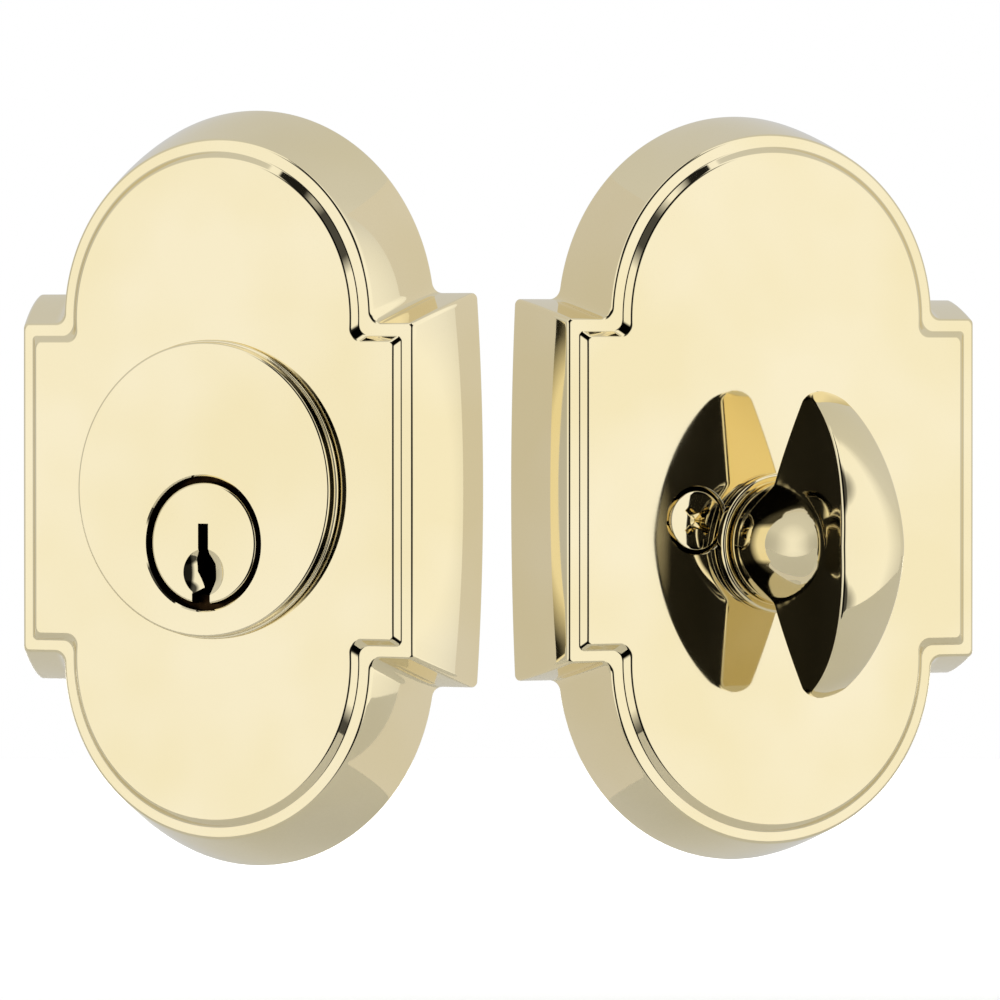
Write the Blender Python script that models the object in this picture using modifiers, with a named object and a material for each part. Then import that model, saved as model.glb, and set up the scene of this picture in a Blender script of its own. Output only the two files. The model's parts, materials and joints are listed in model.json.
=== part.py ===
"""Deadbolt door lock: outside key trim with its bolt unit, and the inside thumb-turn trim beside it.

Each unit is modelled in its own frame: x to the right, y up and z out of the door, with z = 0 on
the door's face. The outside unit's frame is turned so that its z is the world's -Y, and the inside
unit stands to the right with its face yawed towards the outside one's.
"""
import bpy
import bmesh
from math import sin, cos, pi, radians, sqrt, atan2

MM = 0.001

# Overall sizes of both trim plates
PLATE_HALF_WIDTH = 28.9 * MM
PLATE_HALF_HEIGHT = 44.4 * MM
SHOULDER_HALF_HEIGHT = 21.0 * MM
ARCH_RADIUS = 22.7 * MM
PLATE_DEPTH = 10.0 * MM
PLATE_FLARE = 4.0 * MM
FLANK_CURVE = 1.2
PLATE_WALL = 2.5 * MM
CORNER_RADIUS = 0.8 * MM
FILLET_RADIUS = 2.2 * MM
BORDER_LAND = 1.5 * MM
BORDER_RISER = 0.9 * MM
FIELD_RISE = 0.9 * MM
INSIDE_PLATE_GROWTH = 0.6 * MM
INSIDE_PLATE_FLARE = 2.6 * MM

# Door and lock layout
DOOR_THICKNESS = 44.5 * MM
CROSS_BORE_RADIUS = 27.0 * MM
EDGE_BORE_RADIUS = 12.7 * MM
BACKSET = 41.0 * MM
LOCK_AXIS_DROP = 6.8 * MM
INSIDE_YAW = radians(57.5)
TRIM_GAP = 13.1 * MM
SPACING_DIRECTION = radians(30)

# Clearances
GAP = 0.3 * MM
RUNNING_GAP = 0.3 * MM
PIN_END_GAP = 0.12 * MM
CUT_PAST = 1.0 * MM

# Cylinder
COLLAR_RADIUS = 18.7 * MM
COLLAR_BASE_RADIUS = 19.0 * MM
COLLAR_BASE_HEIGHT = 0.5 * MM
COLLAR_PROUD = 2.3 * MM
COLLAR_EDGE = 0.35 * MM
COLLAR_BASE_EDGE = 0.15 * MM
NECK_RADIUS = 17.2 * MM
BODY_RADIUS = 16.0 * MM
BODY_BEHIND_DOOR_FACE = 9.5 * MM
PLUG_RADIUS = 6.35 * MM
PLUG_FACE_RADIUS = 7.8 * MM
PLUG_FACE_THICKNESS = 1.8 * MM
PLUG_RECESS = 0.2 * MM
PLUG_FACE_CLEARANCE = 0.75 * MM
PLUG_EDGE = 0.4 * MM
PLUG_PAST_HOUSING = 1.3 * MM
KEYWAY_TOP = 2.5 * MM
KEYWAY_HALF_WIDTH = 0.65 * MM
KEYWAY_LOWER_HALF_WIDTH = 1.15 * MM
KEYWAY_FOOT_TOP = -4.6 * MM
KEYWAY_RIGHT_STEP = (-4.0 * MM, -2.4 * MM)
KEYWAY_LEFT_STEP = (-2.6 * MM, -1.4 * MM)
KEYWAY_SLOPE = 0.8 * MM
KEYWAY_REAR_WALL = 2.5 * MM
DIMPLE_RADIUS = 3.1 * MM
DIMPLE_DEPTH = 0.9 * MM
DIMPLE_DROP = 3.7 * MM

# Pin stacks
PIN_PITCH = 3.96 * MM
PIN_RADIUS = 1.4 * MM
KEY_PIN_TIP = 0.6 * MM
CHAMBER_RADIUS = 1.7 * MM
FIRST_PIN_DEPTH = 4.1 * MM
DRIVER_LENGTH = 4.5 * MM
KEY_PIN_LENGTHS = [3.4 * MM, 4.6 * MM, 3.9 * MM, 5.0 * MM, 4.2 * MM]
KEY_PIN_DROP = 1.4 * MM
SPRING_WIRE_RADIUS = 0.18 * MM
SPRING_TURNS = 4
SPRING_END_GAP = 0.2 * MM
POINTS_PER_TURN = 7
CHAMBER_CAP_THICKNESS = 0.8 * MM
CHAMBER_CAP_HALF_WIDTH = 2.2 * MM
CHAMBER_CAP_INSET = 2.9 * MM
CHAMBER_CAP_REAR_MARGIN = 0.5 * MM
CHAMBER_CAP_FRONT_MARGIN = 0.4 * MM

# Tailpiece and plug cap
CAP_WALL = 1.0 * MM
CAP_LIP = 1.0 * MM
CAP_HOLE_MARGIN = 1.2 * MM
TAIL_HEAD_MARGIN = 0.55 * MM
TAIL_HEAD_THICKNESS = 1.5 * MM
TAIL_WIDTH = 6.0 * MM
TAIL_THICKNESS = 2.0 * MM
TAIL_REACH_PAST_DOOR = 2.0 * MM
TAIL_CLEARANCE = 0.35 * MM

# Bolt unit
BOLT_THROW = 25.4 * MM
BOLT_HALF_HEIGHT = 9.0 * MM
BOLT_HALF_THICKNESS = 6.0 * MM
BOLT_FACE_PROUD = 1.2 * MM
BOLT_REAR = 9.0 * MM
BOLT_CORNER_RADIUS = 2.2 * MM
CASE_WALL = 1.0 * MM
CASE_CLEARANCE = 0.4 * MM
FACE_RING_THICKNESS = 3.0 * MM
CRANK_THICKNESS = 3.0 * MM
CRANK_HUB_RADIUS = 6.5 * MM
CRANK_HUB_STEP = 0.2 * MM
CRANK_HUB_OPENING = 0.55
CRANK_ARM_HALF_WIDTH = 3.4 * MM
CRANK_HUB_HALF_LENGTH = 6.0 * MM
JOURNAL_RADIUS = 5.0 * MM
CRANK_PIN_RADIUS = 1.9 * MM
CRANK_PIN_HALF_LENGTH = 4.5 * MM
LEAF_THICKNESS = 1.4 * MM
LEAF_MARGIN = 2.0 * MM
LEAF_LOW_SHARE = 0.43
TAIL_ROOT_LENGTH = 3.5 * MM
SLOT_CLEARANCE = 0.8 * MM
TAIL_ARM_CLEARANCE = 0.6 * MM
TUBE_TO_TAIL = 1.1 * MM
SIDE_PLATE_THICKNESS = 1.2 * MM
SIDE_PLATE_GAP = 0.4 * MM
SIDE_PLATE_TOP_MARGIN = 0.5 * MM
RIVET_EDGE_MARGIN = 0.4 * MM
RIVET_RADIUS = 1.5 * MM
RIVET_HEAD_RADIUS = 2.6 * MM
RIVET_HEAD_THICKNESS = 0.7 * MM

# Thumb-turn
TURN_HALF_LENGTH = 19.3 * MM
TURN_OUTER_REACH = 35.8 * MM
TURN_ARC_RADIUS = 20.5 * MM
TURN_INNER_ROOT = 14.6 * MM
TURN_TIP_INNER = 21.7 * MM
TURN_TIP_THICKNESS = 4.2 * MM
TURN_MIDDLE_THICKNESS = 9.0 * MM
TURN_CROWN = 0.7 * MM
TURN_FLANGE_RADIUS = 8.9 * MM
TURN_FLANGE_HEIGHT = 1.4 * MM
TURN_GROOVE_DEPTH = 1.2 * MM
TURN_GROOVE_HEIGHT = 0.6 * MM
TURN_STEM_RADIUS = 7.95 * MM
TURN_STEM_STRAIGHT = 1.5 * MM
TURN_CONE_REACH = 28.4 * MM
TURN_CONE_SHOULDER = 5.0 * MM
TURN_CONE_SHARE = 0.8
TURN_CONE_TIP_RADIUS = 2.0 * MM
TURN_SHAFT_RADIUS = 6.0 * MM
TURN_SHAFT_REAR = 4.0 * MM
SOCKET_DEPTH = 7.0 * MM
RING_GROOVE_DEPTH = 0.9 * MM
RING_THICKNESS = 0.8 * MM
RING_WIDTH = 2.4 * MM
RING_MOUTH_HALF_WIDTH = 1.6 * MM
WASHER_THICKNESS = 0.5 * MM
WASHER_WIDTH = 2.6 * MM

# Through-bolts
BOLT_SPACING_HALF = 11.6 * MM
BOLT_DROP = 3.85 * MM
SCREW_RADIUS = 2.0 * MM
SCREW_HEAD_RADIUS = 3.85 * MM
SCREW_HEAD_HEIGHT = 2.0 * MM
SCREW_REACH = 30.0 * MM
SCREW_SINK = 0.1 * MM
SCREW_HEAD_EDGE = (0.1 * MM, 0.2 * MM)
SCREW_TIP_CHAMFER = 0.8 * MM
COUNTERSINK_MARGIN = 0.5 * MM
COUNTERSINK_RIM_DEPTH = 0.35 * MM
COUNTERSINK_RELIEF = 0.2 * MM
RECESS_ARM_HALF_LENGTH = 2.1 * MM
RECESS_ARM_HALF_WIDTH = 0.55 * MM
RECESS_DEPTH = 1.4 * MM
TAPPED_DEPTH = 12.0 * MM

# Bore rings behind the trim plates
ADAPTER_THICKNESS = 1.5 * MM
ADAPTER_EDGE_CLEARANCE = 0.4 * MM
INSIDE_ADAPTER_HOLE = 18.0 * MM

# Derived places
TRIM_SPACING = 2 * PLATE_HALF_WIDTH + TRIM_GAP
FIELD_FACE = PLATE_DEPTH + FIELD_RISE
FIELD_BACK = FIELD_FACE - PLATE_WALL
COLLAR_SEAT = FIELD_FACE + GAP
COLLAR_FRONT = FIELD_FACE + COLLAR_PROUD
PLUG_FRONT = COLLAR_FRONT - PLUG_RECESS
PLUG_STEP = PLUG_FRONT - PLUG_FACE_THICKNESS
PLUG_REAR = -BODY_BEHIND_DOOR_FACE - PLUG_PAST_HOUSING
SHEAR_LINE = -LOCK_AXIS_DROP + PLUG_RADIUS
PIN_TOP = SHEAR_LINE - PIN_END_GAP
DRIVER_BASE = SHEAR_LINE + PIN_END_GAP
CHAMBER_CAP_BASE = BODY_RADIUS - CHAMBER_CAP_INSET
BOLT_MID = -DOOR_THICKNESS / 2
TAIL_HEAD_RADIUS = PLUG_RADIUS - TAIL_HEAD_MARGIN
CRANK_RADIUS = BOLT_THROW / sqrt(2)
CRANK_PIN_X = BOLT_THROW / 2
CRANK_PIN_Y = -LOCK_AXIS_DROP + BOLT_THROW / 2
SLOT_HALF_WIDTH = CRANK_PIN_RADIUS + SLOT_CLEARANCE
SLOT_LOW = CRANK_PIN_Y - CRANK_PIN_RADIUS - SLOT_CLEARANCE
SLOT_HIGH = -LOCK_AXIS_DROP + CRANK_RADIUS + CRANK_PIN_RADIUS + SLOT_CLEARANCE
LEAF_INNER = CRANK_THICKNESS / 2 + RUNNING_GAP
LEAF_OUTER = LEAF_INNER + LEAF_THICKNESS
LEAF_RIGHT = CRANK_PIN_X + SLOT_HALF_WIDTH + LEAF_MARGIN
SLOT_PLATE_LEFT = CRANK_PIN_X - SLOT_HALF_WIDTH - LEAF_MARGIN
TUBE_REAR = SLOT_PLATE_LEFT - BOLT_THROW - TUBE_TO_TAIL
SIDE_PLATE_INNER = CRANK_HUB_HALF_LENGTH + SIDE_PLATE_GAP
SIDE_PLATE_OUTER = SIDE_PLATE_INNER + SIDE_PLATE_THICKNESS
RING_TOP = FIELD_BACK - GAP - WASHER_THICKNESS - GAP

# Finishes, as linear colour and roughness
BRASS = ((0.90, 0.74, 0.42), 0.08)
CAST_BRASS = ((0.86, 0.70, 0.38), 0.3)
NICKEL_SILVER = ((0.74, 0.72, 0.66), 0.25)
STEEL = ((0.55, 0.56, 0.58), 0.3)
HARD_STEEL = ((0.35, 0.35, 0.37), 0.25)

# Facets of round faces
SEGMENTS = 36
SMALL_SEGMENTS = 16
SCREW_SEGMENTS = 24
COLLAR_SEGMENTS = 56


def clear_scene():
    for old in list(bpy.data.objects):
        bpy.data.objects.remove(old, do_unlink=True)


def new_collection(name):
    collection = bpy.data.collections.new(name)
    bpy.context.scene.collection.children.link(collection)
    return collection


def new_material(name, colour, roughness, metallic=1.0):
    material = bpy.data.materials.new(name)
    material.use_nodes = True
    shader = material.node_tree.nodes["Principled BSDF"]
    shader.inputs["Base Color"].default_value = (*colour, 1.0)
    shader.inputs["Roughness"].default_value = roughness
    shader.inputs["Metallic"].default_value = metallic
    return material


def add_object(name, mesh, unit, finish, at=(0, 0, 0), axis=None):
    """Put a mesh in its unit's frame, at a place and with local z along an axis of that frame."""
    item = bpy.data.objects.new(name, mesh)
    item.parent = unit
    item.location = at
    if axis is not None:
        item.rotation_euler = axis
    if finish is None:
        CUTTERS.objects.link(item)
        item.hide_render = True
        item.display_type = "WIRE"
    else:
        PARTS.objects.link(item)
        mesh.materials.append(new_material(name, *finish))
    return item


def turned(name, profile, unit, finish, at=(0, 0, 0), axis=None, closed=False, segments=SEGMENTS):
    """Turn a profile of (radius, height) points, outer side from top to bottom, about local z."""
    edges = [(i, i + 1) for i in range(len(profile) - 1)]
    if closed:
        edges.append((len(profile) - 1, 0))
    mesh = bpy.data.meshes.new(name)
    mesh.from_pydata([(radius, 0, height) for radius, height in profile], edges, [])
    item = add_object(name, mesh, unit, finish, at, axis)
    screw = item.modifiers.new("turn", "SCREW")
    screw.axis = "Z"
    screw.steps = segments
    screw.render_steps = segments
    screw.use_merge_vertices = True
    screw.merge_threshold = 0.00001
    screw.use_smooth_shade = True
    return item


def ring_profile(inner, outer, low, high):
    return [(outer, high), (outer, low), (inner, low), (inner, high)]


def rod_profile(radius, low, high):
    return [(0, high), (radius, high), (radius, low), (0, low)]


def rectangle(half_x, half_y):
    return [(-half_x, -half_y), (half_x, -half_y), (half_x, half_y), (-half_x, half_y)]


def prism(name, outline, low, high, unit, finish, at=(0, 0, 0), axis=None):
    """Extrude a closed outline of (x, y) points, anticlockwise, from low to high along local z."""
    shape = bmesh.new()
    face = shape.faces.new([shape.verts.new((x, y, low)) for x, y in outline])
    face.normal_flip()
    raised = bmesh.ops.extrude_face_region(shape, geom=[face])
    moved = [g for g in raised["geom"] if isinstance(g, bmesh.types.BMVert)]
    bmesh.ops.translate(shape, verts=moved, vec=(0, 0, high - low))
    bmesh.ops.recalc_face_normals(shape, faces=shape.faces)
    mesh = bpy.data.meshes.new(name)
    shape.to_mesh(mesh)
    shape.free()
    return add_object(name, mesh, unit, finish, at, axis)


def box(name, low, high, unit, finish):
    """Make a box between two corners of the unit's frame."""
    outline = [(low[0], low[1]), (high[0], low[1]), (high[0], high[1]), (low[0], high[1])]
    return prism(name, outline, low[2], high[2], unit, finish)


def loft(name, rings, unit, finish, at=(0, 0, 0)):
    """Join rings of points in order, close the first and last ring, and face everything outwards."""
    shape = bmesh.new()
    rows = [[shape.verts.new(point) for point in ring] for ring in rings]
    count = len(rows[0])
    for near, far in zip(rows, rows[1:]):
        for i in range(count):
            j = (i + 1) % count
            shape.faces.new((near[i], near[j], far[j], far[i]))
    shape.faces.new(rows[0])
    shape.faces.new(list(reversed(rows[-1])))
    bmesh.ops.recalc_face_normals(shape, faces=shape.faces)
    mesh = bpy.data.meshes.new(name)
    shape.to_mesh(mesh)
    shape.free()
    return add_object(name, mesh, unit, finish, at)


def combine(item, other, operation):
    modifier = item.modifiers.new(operation.lower(), "BOOLEAN")
    modifier.operation = operation
    modifier.solver = "EXACT"
    modifier.object = other


def cut(item, *cutters):
    for cutter in cutters:
        combine(item, cutter, "DIFFERENCE")


def arc(centre, radius, start, end, steps):
    """Points on a circle from one angle to another, both ends included."""
    angles = [start + (end - start) * i / steps for i in range(steps + 1)]
    return [(centre[0] + radius * cos(a), centre[1] + radius * sin(a)) for a in angles]


def plate_outline(offset):
    """The trim outline, moved outwards by offset: square shoulders with an arch above and below."""
    width = PLATE_HALF_WIDTH + offset
    shoulder = SHOULDER_HALF_HEIGHT + offset
    arch = ARCH_RADIUS + offset
    arch_centre = PLATE_HALF_HEIGHT - ARCH_RADIUS
    fillet_y = shoulder + FILLET_RADIUS
    fillet_x = sqrt((arch + FILLET_RADIUS) ** 2 - (fillet_y - arch_centre) ** 2)
    lean = atan2(fillet_y - arch_centre, fillet_x)
    corner = (width - CORNER_RADIUS, shoulder - CORNER_RADIUS)
    quarter = arc(corner, CORNER_RADIUS, 0, pi / 2, 3)
    quarter += arc((fillet_x, fillet_y), FILLET_RADIUS, -pi / 2, lean - pi, 4)
    quarter += arc((0, arch_centre), arch, lean, pi / 2, 10)[1:]
    left = [(-x, y) for x, y in reversed(quarter[:-1])]
    upper = quarter + left
    lower = [(-x, -y) for x, y in upper]
    return upper + lower


def escutcheon(name, unit, growth, flare):
    """A cast shell: a flared flank, a flat border, a cove riser and a raised field, open behind."""
    steps = 4
    flank = [(flare * (1 - (k / steps) ** FLANK_CURVE), PLATE_DEPTH * k / steps)
             for k in range(steps + 1)]
    step = [(-BORDER_LAND, PLATE_DEPTH)]
    step.append((-BORDER_LAND - BORDER_RISER * 0.35, PLATE_DEPTH + FIELD_RISE * 0.75))
    step.append((-BORDER_LAND - BORDER_RISER, FIELD_FACE))
    inside = [(-BORDER_LAND - PLATE_WALL * 0.4, FIELD_BACK), (-PLATE_WALL * 0.9, PLATE_DEPTH * 0.45)]
    inside.append((flare - PLATE_WALL, 0))
    path = list(reversed(flank + step)) + list(reversed(inside))
    rings = [[(x, y, z) for x, y in plate_outline(offset + growth)] for offset, z in path]
    return loft(name, rings, unit, BRASS)


def outside_trim(unit):
    plate = escutcheon("outside_escutcheon", unit, 0, PLATE_FLARE)
    hole = turned("outside_escutcheon_hole", rod_profile(NECK_RADIUS + GAP, 0, COLLAR_FRONT), unit, None)
    cut(plate, hole)
    ring = ring_profile(BODY_RADIUS + GAP, CROSS_BORE_RADIUS - ADAPTER_EDGE_CLEARANCE,
                        -GAP - ADAPTER_THICKNESS, -GAP)
    turned("outside_bore_ring", ring, unit, STEEL, closed=True)


def pin_depths():
    return [FIELD_FACE + COLLAR_PROUD - FIRST_PIN_DEPTH - PIN_PITCH * i for i in range(5)]


def cylinder(unit):
    """Collar and cylinder housing in one casting, bored for the plug, the pins and the bolts."""
    rear = -BODY_BEHIND_DOOR_FACE
    edge = COLLAR_EDGE
    foot = COLLAR_BASE_EDGE
    base_top = COLLAR_SEAT + COLLAR_BASE_HEIGHT
    profile = [(0, COLLAR_FRONT), (COLLAR_RADIUS - edge, COLLAR_FRONT), (COLLAR_RADIUS, COLLAR_FRONT - edge)]
    profile += [(COLLAR_RADIUS, base_top), (COLLAR_BASE_RADIUS - foot, base_top)]
    profile += [(COLLAR_BASE_RADIUS, base_top - foot), (COLLAR_BASE_RADIUS, COLLAR_SEAT)]
    profile += [(NECK_RADIUS, COLLAR_SEAT), (NECK_RADIUS, FIELD_BACK), (BODY_RADIUS, FIELD_BACK)]
    profile += [(BODY_RADIUS, rear), (0, rear)]
    housing = turned("cylinder_housing", profile, unit, BRASS, segments=COLLAR_SEGMENTS)
    plug_at = (0, -LOCK_AXIS_DROP, 0)
    bore = PLUG_RADIUS + RUNNING_GAP
    face_bore = PLUG_FACE_RADIUS + PLUG_FACE_CLEARANCE
    bore_profile = [(0, COLLAR_FRONT + CUT_PAST), (face_bore, COLLAR_FRONT + CUT_PAST)]
    bore_profile += [(face_bore, PLUG_STEP - RUNNING_GAP), (bore, PLUG_STEP - RUNNING_GAP)]
    bore_profile += [(bore, rear - CUT_PAST), (0, rear - CUT_PAST)]
    cut(housing, turned("plug_bore", bore_profile, unit, None, plug_at))
    for i, depth in enumerate(pin_depths()):
        chamber = rod_profile(CHAMBER_RADIUS, -LOCK_AXIS_DROP, BODY_RADIUS + CUT_PAST)
        cut(housing, turned(f"chamber_cut_{i + 1}", chamber, unit, None, (0, 0, depth),
                            (-pi / 2, 0, 0), segments=SMALL_SEGMENTS))
    depths = pin_depths()
    slot_low = depths[-1] - CHAMBER_RADIUS - CHAMBER_CAP_REAR_MARGIN
    slot_high = depths[0] + CHAMBER_RADIUS + CHAMBER_CAP_FRONT_MARGIN
    half = CHAMBER_CAP_HALF_WIDTH + GAP
    cut(housing, box("chamber_cap_slot", (-half, CHAMBER_CAP_BASE - GAP, slot_low - GAP),
                     (half, BODY_RADIUS + CUT_PAST, FIELD_BACK - 2 * GAP), unit, None))
    box("chamber_cap", (-CHAMBER_CAP_HALF_WIDTH, CHAMBER_CAP_BASE, slot_low),
        (CHAMBER_CAP_HALF_WIDTH, CHAMBER_CAP_BASE + CHAMBER_CAP_THICKNESS,
         min(slot_high, FIELD_BACK - 3 * GAP)), unit, CAST_BRASS)
    for side, label in ((-1, "left"), (1, "right")):
        hole = rod_profile(SCREW_RADIUS, rear - CUT_PAST, rear + TAPPED_DEPTH)
        cut(housing, turned(f"tapped_hole_{label}", hole, unit, None,
                            (side * BOLT_SPACING_HALF, -BOLT_DROP, 0), segments=SMALL_SEGMENTS))


def keyway_outline():
    """A warded slot: a narrow upper leg, two steps sideways, and a wider foot below."""
    w = KEYWAY_HALF_WIDTH
    foot = KEYWAY_LOWER_HALF_WIDTH
    low = -PLUG_FACE_RADIUS - CUT_PAST
    right_low, right_high = KEYWAY_RIGHT_STEP
    left_low, left_high = KEYWAY_LEFT_STEP
    right = [(foot, low), (foot, KEYWAY_FOOT_TOP), (2 * w, right_low), (2 * w, right_high)]
    right += [(w, right_high + KEYWAY_SLOPE), (w, KEYWAY_TOP)]
    left = [(-w, KEYWAY_TOP), (-w, left_high + KEYWAY_SLOPE), (-2 * w, left_high), (-2 * w, left_low)]
    left += [(-w, left_low - KEYWAY_SLOPE), (-foot, KEYWAY_FOOT_TOP), (-foot, low)]
    return right + left


def plug_and_pins(unit):
    """Build the plug about the lock axis, with its pins, cap and tailpiece."""
    at = (0, -LOCK_AXIS_DROP, 0)
    edge = PLUG_EDGE
    profile = [(0, PLUG_FRONT), (PLUG_FACE_RADIUS - edge, PLUG_FRONT), (PLUG_FACE_RADIUS, PLUG_FRONT - edge)]
    profile += [(PLUG_FACE_RADIUS, PLUG_STEP), (PLUG_RADIUS, PLUG_STEP), (PLUG_RADIUS, PLUG_REAR)]
    plug = turned("key_plug", profile + [(0, PLUG_REAR)], unit, BRASS, at)
    dimple_radius = (DIMPLE_RADIUS ** 2 + DIMPLE_DEPTH ** 2) / (2 * DIMPLE_DEPTH)
    centre = dimple_radius - DIMPLE_DEPTH
    steps = 8
    dimple = [(dimple_radius * sin(pi * i / steps), centre + dimple_radius * cos(pi * i / steps))
              for i in range(steps + 1)]
    scoop = turned("dimple_cut", dimple, unit, None, (0, at[1] - DIMPLE_DROP, PLUG_FRONT))
    cut(plug, scoop)
    slot = prism("keyway_cut", keyway_outline(), PLUG_REAR + KEYWAY_REAR_WALL, PLUG_FRONT + CUT_PAST,
                 unit, None, at)
    cut(plug, slot)
    upright = (-pi / 2, 0, 0)
    low = PIN_TOP - max(KEY_PIN_LENGTHS) - KEY_PIN_DROP - GAP
    chamber = rod_profile(CHAMBER_RADIUS, low, SHEAR_LINE + CUT_PAST)
    for i, (depth, length) in enumerate(zip(pin_depths(), KEY_PIN_LENGTHS)):
        cut(plug, turned(f"plug_chamber_cut_{i + 1}", chamber, unit, None, (0, 0, depth), upright,
                         segments=SMALL_SEGMENTS))
        tip = KEY_PIN_TIP
        key_pin = [(0, length), (PIN_RADIUS, length), (PIN_RADIUS, tip), (PIN_RADIUS - tip, 0), (0, 0)]
        turned(f"key_pin_{i + 1}", key_pin, unit, BRASS, (0, PIN_TOP - length, depth), upright,
               segments=SMALL_SEGMENTS)
        driver = rod_profile(PIN_RADIUS, 0, DRIVER_LENGTH)
        turned(f"driver_pin_{i + 1}", driver, unit, NICKEL_SILVER, (0, DRIVER_BASE, depth), upright,
               segments=SMALL_SEGMENTS)
        spring(f"pin_spring_{i + 1}", unit, DRIVER_BASE + DRIVER_LENGTH, CHAMBER_CAP_BASE, depth)
    cap_top = -BODY_BEHIND_DOOR_FACE - GAP
    head_top = PLUG_REAR - GAP
    head_low = head_top - TAIL_HEAD_THICKNESS
    cap_low = head_low - GAP - CAP_LIP
    sleeve = PLUG_RADIUS + GAP
    neck = TAIL_WIDTH / 2 + CAP_HOLE_MARGIN
    cap = [(sleeve + CAP_WALL, cap_top), (sleeve + CAP_WALL, cap_low), (neck, cap_low),
           (neck, cap_low + CAP_LIP), (sleeve, cap_low + CAP_LIP), (sleeve, cap_top)]
    turned("plug_cap", cap, unit, CAST_BRASS, at, closed=True)
    tail = turned("tailpiece", rod_profile(TAIL_HEAD_RADIUS, head_low, head_top), unit, STEEL, at)
    blade_end = -DOOR_THICKNESS - TAIL_REACH_PAST_DOOR
    blade = prism("tailpiece_blade", rectangle(TAIL_WIDTH / 2, TAIL_THICKNESS / 2), blade_end,
                  head_low + TAIL_HEAD_THICKNESS / 2, unit, None, at)
    combine(tail, blade, "UNION")


def spring(name, unit, low, high, depth):
    """A coil on a vertical axis, between the driver pin and the chamber cap."""
    wire = SPRING_WIRE_RADIUS
    start = low + wire + SPRING_END_GAP
    end = high - wire - SPRING_END_GAP
    count = POINTS_PER_TURN * SPRING_TURNS
    radius = PIN_RADIUS - wire
    data = bpy.data.curves.new(name, "CURVE")
    data.dimensions = "3D"
    data.bevel_depth = wire
    data.bevel_resolution = 2
    data.use_fill_caps = True
    line = data.splines.new("POLY")
    line.points.add(count)
    for i, point in enumerate(line.points):
        angle = 2 * pi * i / POINTS_PER_TURN
        height = start + (end - start) * i / count
        point.co = (radius * cos(angle), height, depth + radius * sin(angle), 1)
    add_object(name, data, unit, HARD_STEEL)


def crank_outline():
    """The hub circle and the arm's round end, joined by straight sides, seen along the lock axis."""
    far = CRANK_RADIUS
    hub = arc((0, 0), CRANK_HUB_RADIUS, pi / 2 + CRANK_HUB_OPENING, 5 * pi / 2 - CRANK_HUB_OPENING, 24)
    end = arc((0, far), CRANK_ARM_HALF_WIDTH, 0, pi, 12)
    lean = sin(pi / 4)
    return [((x + y) * lean, (y - x) * lean) for x, y in hub + end]


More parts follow.
